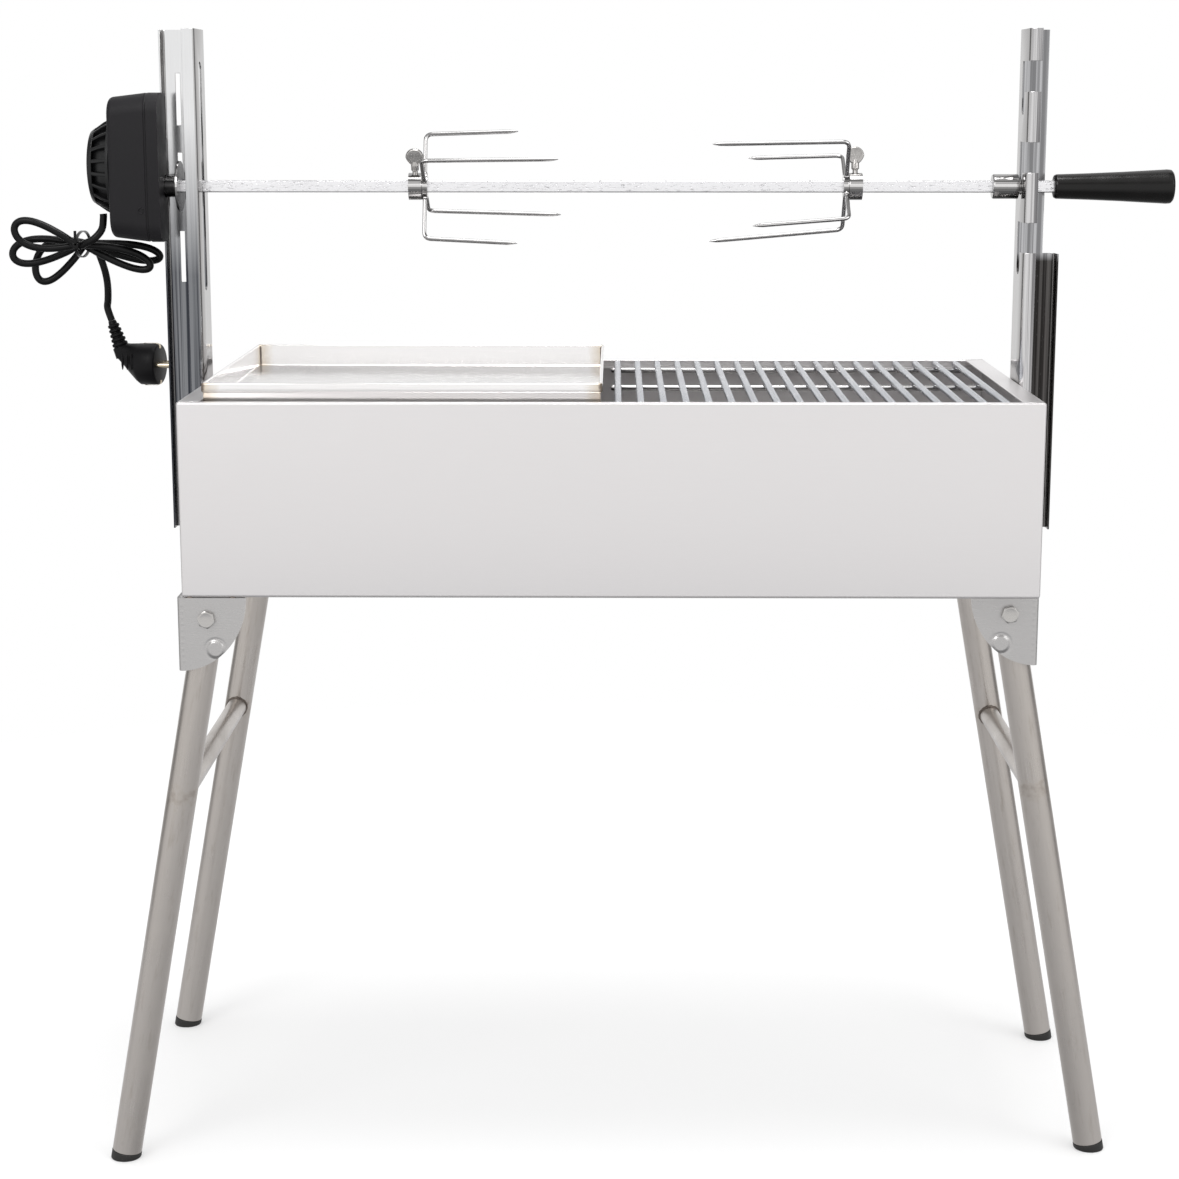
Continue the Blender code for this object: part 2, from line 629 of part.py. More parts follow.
def build_motor_clip():
    """Hook that slides over the post's lip and holds the motor."""
    lip = -(POST_FACE + POST_BACK_FLANGE)
    front = POST_HALF_DEPTH - POST_LIP
    outline = [(MOTOR_FACE + GAP, front + 0.010), (MOTOR_FACE + GAP, front - 0.004),
               (lip + 0.0044, front - 0.004), (lip + 0.0044, front + 0.007),
               (lip + SHEET + GAP, front + 0.007), (lip + SHEET + GAP, front - 0.0012),
               (lip - GAP, front - 0.0012), (lip - GAP, front + 0.010)]
    clip = plate("motor_clip", outline, 0.048, BLACK, location=(0, 0, SPIT_Z + 0.016))
    cut(clip, cutter_rod("clip_clearance", (MOTOR_FACE - 0.01, 0, SPIT_Z),
                         (MOTOR_FACE + 0.02, 0, SPIT_Z), 0.0100))


def build_drive_socket(axis):
    """Driven sleeve whose square bore takes the end of the spit."""
    socket = x_turned("drive_socket",
                      [(0, -0.3700), (0.0215, -0.3700), (0.0215, -0.3720), (0.0092, -0.3720),
                       (0.0092, -0.4135), (0, -0.4135)], BARE, axis, steps=24)
    spit_bore("socket_bore", SPIT_LEFT - 0.0003, -0.360, socket)


def plug_point(point):
    """Point in the plug's own frame, moved to its place."""
    return PLUG + Matrix.Rotation(PLUG_TURN, 3, "Z") @ point


def cord_path():
    """Out of the vent cap, five half loops of a tied bundle, down to the plug."""
    start = Vector((-0.4400, 0.010, 0.7925))
    path = [start + Vector((0, 0, 0.0036)), start, start + Vector((-0.002, 0.001, -0.010)),
            start + Vector((-0.009, 0.000, -0.018)), BUNDLE + Vector((0.007, -0.019, 0.002))]
    loops = ((-0.056, 0.014, -0.013), (0.060, 0.009, 0.018), (-0.062, 0.013, 0.009),
             (0.066, 0.008, 0.011), (-0.046, 0.020, 0.023))
    steps = 12
    depth = 0.0076
    for number, (reach, height, droop) in enumerate(loops):
        for step in range(steps):
            turn = math.pi * step / steps
            x = reach * math.sin(turn)
            z = 0.8 * height * math.sin(2 * turn) - droop * math.sin(turn)
            y = -0.019 + depth * (number + step / steps)
            path.append(BUNDLE + Vector((x, y, z)))
    path.append(BUNDLE + Vector((0, -0.019 + depth * len(loops), 0)))
    start = path[-1] + Vector((0.008, 0.001, -0.005))
    along = (RELIEF_TOP - RELIEF_FOOT).normalized()
    last = plug_point(RELIEF_TOP + along * 0.012)
    for step in range(9):
        blend = step / 8
        sag = Vector((0.004 * math.sin(math.pi * blend), 0, 0))
        path.append(start.lerp(last, blend) + sag)
    path.append(plug_point(RELIEF_TOP + along * 0.0006))
    return path


def build_cord():
    wire("power_cord", cord_path(), CORD_RADIUS, RUBBER)
    tie = [Vector((0.0, 0.0285 * math.cos(a), 0.0098 * math.sin(a)))
           for a in [2 * math.pi * k / 20 for k in range(20)]]
    outer = [(p.y * 1.06, p.z * 1.22) for p in tie]
    ring = plate("cable_tie", outer, 0.003, RUBBER, location=BUNDLE,
                 rotation=(math.pi / 2, 0, math.pi / 2))
    inner = [(p.y, p.z) for p in tie]
    hole = plate("cable_tie_hole", inner, 0.010, None, location=BUNDLE,
                 rotation=(math.pi / 2, 0, math.pi / 2))
    cut(ring, hole)


def build_plug():
    """Angled mains plug: round face towards +X, cord entry at the top."""
    seat = empty("plug_frame", PLUG)
    seat.rotation_euler = (0, 0, PLUG_TURN)
    body = turned("plug", [(0, 0.010), (0.0175, 0.010), (0.0185, 0.008), (0.0185, -0.010),
                           (0.0120, -0.026), (0, -0.026)], RUBBER, steps=20, parent=seat,
                  rotation=(0, math.pi / 2, 0))
    relief = add("plug_relief", rod_mesh("plug_relief", [(RELIEF_FOOT, RELIEF_TOP, 0.0075)],
                 12), None, parent=seat)
    join(body, relief)
    for number, y in enumerate((-0.0095, 0.0095)):
        name = f"plug_pin_{number + 1}"
        pin = add(name, rod_mesh(name, [((-0.004, y, 0), (0.0285, y, 0), 0.0024)], 10), BRASS,
                  parent=seat)
        bevel(pin, 0.0006, 1)
        hole = add(name + "_hole", rod_mesh(name, [((-0.0045, y, 0), (0.015, y, 0), 0.0027)], 10),
                   None, parent=seat)
        cut(body, hole)


# ---------------------------------------------------------------- legs
def build_leg(name, side, y, axis):
    """Tube from above its bolt to its foot, splayed outwards."""
    lean = (0, side * -SPLAY, 0)
    end = -(LEG_REACH - FOOT_PAD - 0.0030)
    inner = LEG_RADIUS - LEG_WALL
    leg = turned(name, [(LEG_RADIUS, LEG_OVERHANG), (LEG_RADIUS, end), (inner, end),
                        (inner, LEG_OVERHANG)], TUBE, steps=20, closed=True, parent=axis,
                 location=(0, y, 0), rotation=lean)
    reach = LEG_RADIUS + 0.01
    here = Vector((side * PIVOT_X, y, PIVOT_Z))
    cut(leg, cutter_rod(name + "_bolt_hole", here + Vector((0, -reach, 0)),
                        here + Vector((0, reach, 0)), BOLT_RADIUS + GAP, 12))


def build_foot(name, side, y, axis):
    """Rubber plug in the end of a leg, cut level with the floor."""
    top = -(LEG_REACH - FOOT_PAD - 0.0030) - GAP
    spigot = LEG_RADIUS - LEG_WALL - GAP
    foot = turned(name, [(0, top + 0.014), (spigot - 0.001, top + 0.014),
                         (spigot, top + 0.012), (spigot, top), (LEG_RADIUS, top),
                         (LEG_RADIUS, top - 0.016), (0, top - 0.016)], RUBBER, steps=20,
                  parent=axis, location=(0, y, 0), rotation=(0, side * -SPLAY, 0))
    x = side * FOOT_X
    cut(foot, cutter_box(name + "_floor", (x - 0.03, y - 0.03, -0.03),
                         (x + 0.03, y + 0.03, 0.0)))


def build_brace(name, side, y, axis):
    """Cross tube that ties a pair of legs, fitted between them."""
    half = y + 0.002
    offset = Vector((side * BRACE_DROP * math.sin(SPLAY), 0, -BRACE_DROP * math.cos(SPLAY)))
    radius = 0.0090
    brace = turned(name, [(radius, half), (radius, -half), (radius - LEG_WALL, -half),
                          (radius - LEG_WALL, half)], TUBE, steps=16, closed=True, parent=axis,
                   location=offset, rotation=(math.pi / 2, 0, 0))
    for number, way in enumerate((-1, 1)):
        top = Vector((side * PIVOT_X, way * y, PIVOT_Z))
        bottom = Vector((side * FOOT_X, way * y, 0))
        cut(brace, cutter_rod(f"{name}_saddle_{number}", top, bottom, LEG_RADIUS + GAP, 24))


def build_bracket(name, side, way, leg_y):
    """Folded bracket: quarter-round plate, outer wall and the flange under the trough."""
    plate_y = leg_y + LEG_RADIUS + PLATE_GAP + SHEET / 2
    top = TROUGH_FLOOR - GAP
    edge = TROUGH_LENGTH / 2 + BRACKET_INSET
    outline = [(0.0, 0.0)]
    for step in range(13):
        turn = math.pi / 2 * step / 12
        outline.append((BRACKET_WIDTH * math.cos(turn), -BRACKET_HEIGHT * math.sin(turn)))
    outline = [(side * (edge - u), top + v) for u, v in outline]
    bracket = plate(name, outline, SHEET, BRUSHED, rotation=(math.pi / 2, 0, 0),
                    location=(0, way * plate_y, 0))
    wall = sorted((side * (edge + STAGGER), side * (edge - SHEET)))
    deep = sorted((way * plate_y, way * (plate_y - 0.034)))
    join(bracket, cutter_box(name + "_wall",
                             (wall[0], deep[0], top - BRACKET_HEIGHT + STAGGER),
                             (wall[1], deep[1], top - 2 * STAGGER)))
    shelf = sorted((side * (edge - STAGGER), side * (edge - BRACKET_WIDTH + 2 * STAGGER)))
    back = sorted((way * plate_y, way * (plate_y - 0.034 + STAGGER)))
    join(bracket, cutter_box(name + "_shelf", (shelf[0], back[0], top - SHEET),
                             (shelf[1], back[1], top - STAGGER)))
    spot = Vector((side * PIVOT_X, way * plate_y, PIVOT_Z))
    cut(bracket, cutter_rod(name + "_bolt_hole", spot + Vector((0, -0.006, 0)),
                            spot + Vector((0, 0.006, 0)), BOLT_RADIUS + GAP, 12))
    dimple = spot + Vector((-side * 0.0067, 0, -0.0250))
    boss = add(name + "_boss", rod_mesh(name, [(dimple, dimple - Vector((0, way *
               (SHEET / 2 + 0.0009), 0)), 0.0075)], 20), None)
    join(bracket, boss)
    press = add(name + "_press", rod_mesh(name, [(dimple + Vector((0, way * 0.004, 0)),
                dimple + Vector((0, way * (SHEET / 2 - 0.0013), 0)), 0.0068)], 20), None)
    cut(bracket, press)


def build_leg_bolt(name, side, way, leg_y):
    outer = leg_y + LEG_RADIUS + PLATE_GAP + SHEET + GAP
    length = SHEET + PLATE_GAP + 2 * LEG_RADIUS + 0.0090
    hex_bolt(name, 0.013, 0.0053, BOLT_RADIUS, length,
             (side * PIVOT_X, way * outer, PIVOT_Z), (-way * math.pi / 2, 0, 0))
    inner = leg_y - LEG_RADIUS - 0.0005 - 0.0032
    hex_nut(name.replace("bolt", "nut"), 0.013, 0.0064, BOLT_RADIUS + GAP,
            (side * PIVOT_X, way * inner, PIVOT_Z), (math.pi / 2, 0, 0))


def build_legs(label, side):
    axis = empty(f"legs_{label}_axis", (side * PIVOT_X, 0, PIVOT_Z))
    leg_y = LEG_Y[label]
    for end, way in (("front", -1), ("rear", 1)):
        build_leg(f"leg_{end}_{label}", side, way * leg_y, axis)
        build_foot(f"foot_{end}_{label}", side, way * leg_y, axis)
        build_bracket(f"bracket_{end}_{label}", side, way, leg_y)
        build_leg_bolt(f"leg_bolt_{end}_{label}", side, way, leg_y)
    build_brace(f"brace_{label}", side, leg_y, axis)


# ---------------------------------------------------------------- assembly
build_trough()
build_rail("rail_front", -1)
build_rail("rail_rear", 1)
build_pan()
build_grill_grate()
build_coal_grate()
build_motor_post()
build_notched_post()
for post_label, post_side in (("left", -1), ("right", 1)):
    for position, bolt_z in zip(("lower", "upper"), POST_BOLT_Z):
        build_post_bolt(f"post_bolt_{position}_{post_label}", post_side, bolt_z)

spit_axis = empty("spit_axis", (0, 0, SPIT_Z))
build_spit(spit_axis)
build_drive_socket(spit_axis)
FORKS = (
    ("left", -0.1680, 1, (151, 70), (0.116, 0.080), 110, 0.5),
    ("right", 0.2092, -1, (125, 33), (0.116, 0.082), 79, 3.0),
)
for fork_side, collar, heading, bends, tines, clamp, sag_angle in FORKS:
    build_fork(fork_side, spit_axis, collar, heading, [math.radians(a) for a in bends], tines,
               math.radians(clamp), math.radians(sag_angle))
    build_thumb_screw(fork_side, spit_axis, collar, math.radians(clamp))

build_motor()
build_motor_clip()
build_cord()
build_plug()
build_legs("left", -1)
build_legs("right", 1)

for placed in [*parts.objects, *cutters.objects]:
    if placed.parent is None:
        placed.location.x += MIDDLE_SHIFT
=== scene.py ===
"""Looks for the rotisserie spit roaster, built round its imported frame.

Metres, +Z up. Places come from the frame's nodes, joints and mounts; the sizes named
below are those of the sheet, wire and fittings that a node's box does not tell.
"""

import json
import math
import random

import bmesh
import bpy
from mathutils import Matrix, Vector, noise


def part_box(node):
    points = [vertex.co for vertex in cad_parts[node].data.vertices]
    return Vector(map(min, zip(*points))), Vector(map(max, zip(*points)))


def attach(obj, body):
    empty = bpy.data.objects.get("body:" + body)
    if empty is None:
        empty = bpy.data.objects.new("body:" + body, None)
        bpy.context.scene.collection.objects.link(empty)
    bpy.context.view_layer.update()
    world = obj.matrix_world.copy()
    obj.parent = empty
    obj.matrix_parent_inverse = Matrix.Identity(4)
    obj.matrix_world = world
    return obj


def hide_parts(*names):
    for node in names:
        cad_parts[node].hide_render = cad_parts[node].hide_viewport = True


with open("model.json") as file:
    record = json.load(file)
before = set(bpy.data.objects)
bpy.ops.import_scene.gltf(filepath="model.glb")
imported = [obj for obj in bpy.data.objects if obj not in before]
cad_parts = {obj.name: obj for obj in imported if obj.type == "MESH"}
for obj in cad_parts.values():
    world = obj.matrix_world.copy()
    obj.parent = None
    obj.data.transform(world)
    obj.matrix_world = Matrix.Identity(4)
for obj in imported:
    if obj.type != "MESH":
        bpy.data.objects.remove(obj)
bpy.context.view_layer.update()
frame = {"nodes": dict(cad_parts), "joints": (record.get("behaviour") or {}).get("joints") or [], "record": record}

BODY_OF = {node: body for body, nodes in frame["record"]["behaviour"]["bodies"].items()
           for node in nodes}
JOINT = {joint["name"]: joint for joint in frame["joints"]}
MOUNT = {mount["name"]: Vector(mount["pos_m"]) for mount in frame["record"]["mounts"]}

MM = 0.001
SHEET = 1.5 * MM
GAP = 0.3 * MM
SPIT_AXIS = Vector(JOINT["spit_turn"]["pos_m"])
TROUGH_MIDDLE = sum(corner.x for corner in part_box("trough")) / 2
ALONG_X = Matrix(((0, 0, 1, 0), (1, 0, 0, 0), (0, 1, 0, 0), (0, 0, 0, 1)))
ON_SPIT = Matrix.Translation((0, SPIT_AXIS.y, SPIT_AXIS.z)) @ ALONG_X
ROUND = 48                       # sides of a turned piece
SIDES = (("left", -1), ("right", 1))
ENDS = (("front", -1), ("rear", 1))


# ------------------------------------------------------------------ mesh helpers
def loft(work, loops, ring=False, place=Matrix()):
    """Skin equal-length point loops; the ends are capped, or joined when ring is true."""
    rows = [[work.verts.new(place @ Vector(point)) for point in loop] for loop in loops]
    pairs = list(zip(rows, rows[1:]))
    if ring:
        pairs.append((rows[-1], rows[0]))
    for first, second in pairs:
        for k in range(len(first)):
            work.faces.new((first[k - 1], first[k], second[k], second[k - 1]))
    if not ring:
        work.faces.new(rows[0])
        work.faces.new(rows[-1])


def turns(steps):
    return [2 * math.pi * k / steps for k in range(steps)]


def circle(radius, height, steps=ROUND):
    return [(radius * math.cos(a), radius * math.sin(a), height) for a in turns(steps)]


def square(half, height, steps=ROUND):
    """Square with the same number of points as a circle, for a square bore in a round part."""
    points = []
    for a in turns(steps):
        reach = half / max(abs(math.cos(a)), abs(math.sin(a)))
        points.append((reach * math.cos(a), reach * math.sin(a), height))
    return points


def round_rect(half_u, half_v, radius, corner=6):
    points = []
    for quarter, (way_u, way_v) in enumerate(((1, 1), (-1, 1), (-1, -1), (1, -1))):
        for step in range(corner + 1):
            a = math.pi / 2 * (quarter + step / corner)
            points.append((way_u * (half_u - radius) + radius * math.cos(a),
                           way_v * (half_v - radius) + radius * math.sin(a)))
    return points


def soften(points, radius, steps=4):
    """Open path whose inner corners become arcs, smaller where a side is short."""
    points = [Vector((*point, 0.0)[:3]) for point in points]
    path = [points[0]]
    for before, corner, after in zip(points, points[1:], points[2:]):
        back, ahead = before - corner, after - corner
        half = back.angle(ahead) / 2
        inset = min(radius / math.tan(half), 0.45 * back.length, 0.45 * ahead.length)
        bend = inset * math.tan(half)
        centre = corner + (back.normalized() + ahead.normalized()).normalized() \
            * bend / math.sin(half)
        first = (corner + back.normalized() * inset - centre).normalized()
        last = (corner + ahead.normalized() * inset - centre).normalized()
        path += [centre + first.slerp(last, step / steps) * bend for step in range(steps + 1)]
    return path + [points[-1]]


def turned(work, profile, place=Matrix(), fillet=0.4 * MM, steps=ROUND):
    """Solid of revolution about local Z from (radius, height) points."""
    loft(work, [circle(p.x, p.y, steps) for p in soften(profile, fillet)], place=place)


def tube(work, outer, inner, low, high, place, steps=ROUND):
    edge = 0.25 * MM
    loops = [circle(outer - edge, low, steps), circle(outer, low + edge, steps),
             circle(outer, high - edge, steps), circle(outer - edge, high, steps),
             circle(inner, high, steps), circle(inner, low, steps)]
    loft(work, loops, ring=True, place=place)


def sleeve(work, profile, half_bore, place, blind=None, fillet=0.4 * MM):
    """Turned piece with a square bore, right through or down to the height blind."""
    body = [circle(p.x, p.y) for p in soften(profile, fillet)]
    first, last = profile[0][1], profile[-1][1]
    if blind is None:
        loft(work, body + [square(half_bore, last), square(half_bore, first)], True, place)
    else:
        loft(work, [square(half_bore, blind), square(half_bore, first)] + body, place=place)


def sweep(work, path, radii, sides=14, ring=False):
    """Round bar along a path with one radius for each point."""
    path = [Vector(point) for point in path]
    count = len(path)
    loops, side = [], None
    for k, (point, radius) in enumerate(zip(path, radii)):
        ahead = path[(k + 1) % count] if ring else path[min(k + 1, count - 1)]
        behind = path[k - 1] if ring else path[max(k - 1, 0)]
        tangent = (ahead - behind).normalized()
        side = side or tangent.orthogonal()
        side = (side - tangent * side.dot(tangent)).normalized()
        other = tangent.cross(side)
        loops.append([point + (side * math.cos(a) + other * math.sin(a)) * radius
                      for a in turns(sides)])
    loft(work, loops, ring)


def rod(work, start, end, radius, sides=16):
    """Straight bar with softly rounded ends."""
    start, end = Vector(start), Vector(end)
    along = (end - start).normalized()
    nose = [(0.0, 0.45), (0.12, 0.75), (0.35, 0.94), (0.7, 1.0)]
    path = [start + along * radius * t for t, _ in nose]
    path += [end - along * radius * t for t, _ in reversed(nose)]
    swell = [radius * s for _, s in nose]
    sweep(work, path, swell + swell[::-1], sides)


def bead(work, path, radius, ring=False, ripple=0.16, sides=10):
    """Weld bead: a bar whose radius ripples along its path."""
    radii = [radius * (1 + ripple * math.sin(1.9 * k) + 0.5 * ripple * math.sin(0.7 * k + 1))
             for k in range(len(path))]
    if not ring:
        radii[0], radii[-1] = radius * 0.4, radius * 0.4
    sweep(work, path, radii, sides, ring)


def blob(work, centre, size, place=Matrix()):
    """Small rounded lump, for a spot weld or a fillet at a crossing."""
    made = bmesh.ops.create_uvsphere(work, u_segments=12, v_segments=8, radius=1.0)["verts"]
    for vert in made:
        vert.co = place @ (Vector(centre) + Vector(vert.co[k] * size[k] for k in range(3)))


def slab(work, low, high, edge=0.3 * MM):
    """Flat plate with softened edges."""
    low, high = Vector(low), Vector(high)
    centre, half = (low + high) / 2, (high - low) / 2
    made = bmesh.ops.create_cube(work, size=2.0)["verts"]
    for vert in made:
        vert.co = centre + Vector(vert.co[k] * half[k] for k in range(3))
    edges = {e for vert in made for e in vert.link_edges}
    bmesh.ops.bevel(work, geom=list(edges), offset=edge, segments=2, profile=0.5,
                    affect="EDGES")


def hex_piece(work, flats, low, high, place, bore=0.0, crown_low=False):
    """Hexagon with turned chamfers: a bolt head, or a nut when it has a bore."""
    crown = flats / 2 * 0.95
    slope = math.tan(math.radians(30))

    def rim(level, way):
        points = []
        for a in turns(ROUND):
            reach = flats / 2 / math.cos(a % (math.pi / 3) - math.pi / 6)
            fall = (reach - crown) * slope * way
            points.append((reach * math.cos(a), reach * math.sin(a), level + fall))
        return points

    loops = [rim(high, -1), circle(crown, high)]
    bottom = [circle(crown, low), rim(low, 1)] if crown_low else [rim(low, 0)]
    if bore:
        loops = bottom + loops + [circle(bore, high), circle(bore, low)]
        loft(work, loops, ring=True, place=place)
    else:
        dish = [circle(crown * 0.86, high - 0.1 * MM), circle(crown * 0.70, high - 0.35 * MM)]
        loft(work, bottom + loops + dish, place=place)


def threaded(work, radius, low, high, place, pitch=1.25 * MM, depth=0.42 * MM):
    """Shank with ring grooves that read as a thread, from low up to high."""
    count = max(1, int((high - low) / pitch))
    loops = [circle(radius - depth, low)]
    for k in range(count):
        level = low + (high - low) * k / count
        step = (high - low) / count
        loops += [circle(radius, level + 0.35 * step), circle(radius, level + 0.55 * step),
                  circle(radius - depth, level + 0.95 * step)]
    loft(work, loops, place=place)


def facing(origin, direction):
    """Matrix whose local Z points along direction, keeping local X near the row's X."""
    z = Vector(direction).normalized()
    x = Vector((1, 0, 0)) if abs(z.x) < 0.9 else Vector((0, 1, 0))
    y = z.cross(x).normalized()
    x = y.cross(z)
    turn = Matrix((x, y, z)).transposed().to_4x4()
    return Matrix.Translation(origin) @ turn


def piece(name, work, look, nodes, sharp=38, stands=True, body=None):
    """Turn the mesh into a piece that rides on its node's body and stands for its nodes."""
    bmesh.ops.recalc_face_normals(work, faces=work.faces)
    mesh = bpy.data.meshes.new(name)
    work.to_mesh(mesh)
    work.free()
    mesh.shade_smooth()
    mesh.set_sharp_from_angle(angle=math.radians(sharp))
    mesh.materials.append(look)
    made = bpy.data.objects.new(name, mesh)
    bpy.context.scene.collection.objects.link(made)
    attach(made, body or BODY_OF[nodes[0]])
    if stands:
        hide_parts(*nodes)
    return made


def centre_of(node):
    low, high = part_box(node)
    return (low + high) / 2


# ------------------------------------------------------------------ materials
class Graph:
    """A node tree, with one short call for each kind of node."""

    def __init__(self, owner):
        owner.use_nodes = True
        self.tree = owner.node_tree

    def feed(self, socket, value):
        if isinstance(value, bpy.types.NodeSocket):
            self.tree.links.new(value, socket)
        else:
            socket.default_value = value

    def add(self, kind, inputs=None, **settings):
        made = self.tree.nodes.new(kind)
        for key, value in settings.items():
            setattr(made, key, value)
        for key, value in (inputs or {}).items():
            self.feed(made.inputs[key], value)
        return made

    def span(self, value, low, high, to_low, to_high):
        made = self.add("ShaderNodeMapRange", {"Value": value, "From Min": low,
                        "From Max": high, "To Min": to_low, "To Max": to_high})
        return made.outputs["Result"]

    def math(self, operation, first, second=0.0):
        return self.add("ShaderNodeMath", {0: first, 1: second}, operation=operation).outputs[0]

    def multiply(self, first, second):
        """Product of two colours."""
        made = self.add("ShaderNodeMix", {0: 1.0, 6: first, 7: second}, data_type="RGBA",
                        blend_type="MULTIPLY")
        return made.outputs[2]

    def parts(self, vector):
        """The x, y and z of a vector."""
        return self.add("ShaderNodeSeparateXYZ", {0: vector}).outputs

    def ramp(self, value, stops):
        """Grey ramp through (value, tone) stops."""
        first, last = stops[0][0], stops[-1][0]
        made = self.add("ShaderNodeValToRGB", {0: self.span(value, first, last, 0, 1)})
        points = made.color_ramp.elements
        for k, (place, tone) in enumerate(stops):
            place = (place - first) / (last - first)
            point = points[k] if k < 2 else points.new(place)
            point.position = place
            point.color = (tone, tone, tone, 1)
        return made.outputs[0]


class Look(Graph):
    """A material on one principled shader."""

    def __init__(self, name, colour, roughness, metallic=0.0, **extra):
        self.material = bpy.data.materials.new(name)
        super().__init__(self.material)
        self.shader = self.tree.nodes["Principled BSDF"]
        self.coords = self.add("ShaderNodeTexCoord").outputs["Object"]
        self.set("Base Color", (*colour, 1.0))
        self.set("Roughness", roughness)
        self.set("Metallic", metallic)
        for key, value in extra.items():
            self.set(key.replace("_", " "), value)

    def set(self, name, value):
        self.feed(self.shader.inputs[name], value)

    def grain(self, size, detail=4.0, roughness=0.55, turn=(0, 0, 0)):
        """Noise whose features measure size, in metres along each axis."""
        place = self.add("ShaderNodeMapping", {"Vector": self.coords, "Rotation": turn,
                         "Scale": size}, vector_type="TEXTURE")
        made = self.add("ShaderNodeTexNoise", {"Vector": place.outputs[0], "Scale": 1.0,
                        "Detail": detail, "Roughness": roughness})
        return made.outputs["Fac"]

    def mix(self, factor, first, second):
        first = first if isinstance(first, bpy.types.NodeSocket) else (*first, 1.0)
        second = second if isinstance(second, bpy.types.NodeSocket) else (*second, 1.0)
        made = self.add("ShaderNodeMix", {0: factor, 6: first, 7: second}, data_type="RGBA")
        return made.outputs[2]

    def facing(self):
        """The x, y and z of the surface's direction in the room."""
        return self.parts(self.add("ShaderNodeNewGeometry").outputs["True Normal"])

    def source(self, name):
        """The socket that feeds one of the shader's inputs."""
        return self.shader.inputs[name].links[0].from_socket

    def shade(self, tone):
        """Multiply the base colour by a tone."""
        self.set("Base Color", self.multiply(self.source("Base Color"), tone))

    def bump(self, height, distance, strength=1.0, normal=None):
        inputs = {"Height": height, "Distance": distance, "Strength": strength}
        if normal:
            inputs["Normal"] = normal
        return self.add("ShaderNodeBump", inputs).outputs["Normal"]

    def distance_to(self, point):
        made = self.add("ShaderNodeVectorMath", {0: self.coords, 1: point},
                        operation="DISTANCE")
        return made.outputs["Value"]

    def distance_to_corners(self, low, high):
        """Distance from the nearest upright edge of a box."""
        centre, half = (low + high) / 2, (high - low) / 2
        moved = self.add("ShaderNodeVectorMath", {0: self.coords, 1: centre},
                         operation="SUBTRACT")
        folded = self.add("ShaderNodeVectorMath", {0: moved.outputs[0]}, operation="ABSOLUTE")
        away = self.add("ShaderNodeVectorMath", {0: half, 1: folded.outputs[0]},
                        operation="SUBTRACT")
        flat = self.add("ShaderNodeVectorMath", {0: away.outputs[0], 1: (1, 1, 0)},
                        operation="MULTIPLY")
        return self.add("ShaderNodeVectorMath", {0: flat.outputs[0]},
                        operation="LENGTH").outputs["Value"]


def brushed(name, colour, roughness, size, turn=(0, 0, 0), spread=0.10, depth=0.02 * MM,
            cloud=0.06, worn=0.06, metallic=1.0, rubbed=0.06):
    """Stainless steel with a directional grain, faint clouding and fine rubs."""
    look = Look(name, colour, roughness, metallic)
    grain = look.grain(size, 5.0, 0.6, turn)
    clouds = look.grain((0.06, 0.06, 0.05), 4.0, 0.6, turn)
    shade = [c * (1 - cloud) for c in colour]
    tone = look.mix(look.span(clouds, 0.3, 0.7, 0, 1), shade, colour)
    streak = look.mix(look.span(grain, 0.35, 0.65, 0, 1), [c * (1 - rubbed) for c in colour], tone)
    look.set("Base Color", streak)
    rub = look.span(grain, 0.3, 0.7, roughness - spread, roughness + spread)
    smear = look.span(clouds, 0.35, 0.7, -worn, worn)
    look.set("Roughness", look.math("ADD", rub, smear))
    look.set("Normal", look.bump(grain, depth))
    return look


def heat_tint(look, distance, near, far, burnt=(0.10, 0.075, 0.06), straw=(0.55, 0.42, 0.25)):
    """Brown and straw colours that fade out from a weld."""
    wobble = look.span(look.grain((0.006, 0.006, 0.006), 3.0), 0.3, 0.7, -0.25 * near, 0.35 * near)
    reach = look.math("ADD", distance, wobble)
    base = look.source("Base Color")
    toned = look.mix(look.span(reach, near, far, 0.55, 0.0), base, straw)
    look.set("Base Color", look.mix(look.span(reach, near * 0.45, near, 0.9, 0.0), toned, burnt))
    return look


STEEL = (0.700, 0.682, 0.682)
TUBE_TONE = (0.500, 0.465, 0.435)

TROUGH_LOOK = brushed("trough_satin", STEEL, 0.34, (0.024, 0.024, 0.0004), spread=0.02,
                      depth=0.004 * MM, cloud=0.015, worn=0.01, metallic=0.80,
                      rubbed=0.02).material
LIP_LOOK = brushed("bracket_satin", (0.47, 0.46, 0.455), 0.33, (0.012, 0.012, 0.0005),
                   cloud=0.03, worn=0.03, metallic=0.9).material
FASTENER = brushed("fastener_steel", (0.50, 0.485, 0.47), 0.24, (0.004, 0.004, 0.004),
                   spread=0.06, worn=0.05).material
# painted reflection bands: tone of a round bright part by the height of its surface direction, -1 under to 1 on
# top
CHROME = ((-1.0, 0.20), (-0.78, 0.05), (-0.60, 0.18), (-0.40, 0.34), (-0.20, 0.20), (0.0, 0.32),
          (0.10, 0.95), (0.28, 0.85), (0.42, 0.12), (0.60, 0.36), (0.80, 0.22), (1.0, 0.55))
# painted reflection bands for the grate's cross rods, with a painted highlight a little above the sides
RODS = ((-1.0, 0.10), (-0.5, 0.22), (-0.15, 0.30), (0.0, 0.45), (0.25, 0.90), (0.55, 0.60),
        (0.80, 0.20), (1.0, 0.55))


def chrome(name, size, stops, roughness=0.12):
    """Bright round steel with reflection bands painted into its colour by the height of its surface direction."""
    look = brushed(name, (0.93, 0.915, 0.91), roughness, size, spread=0.03,
                   depth=0.004 * MM, cloud=0.02, worn=0.02)
    # painted reflection bands: the base colour is shaded by the height of the surface direction
    look.shade(look.ramp(look.facing()[2], stops))
    return look.material


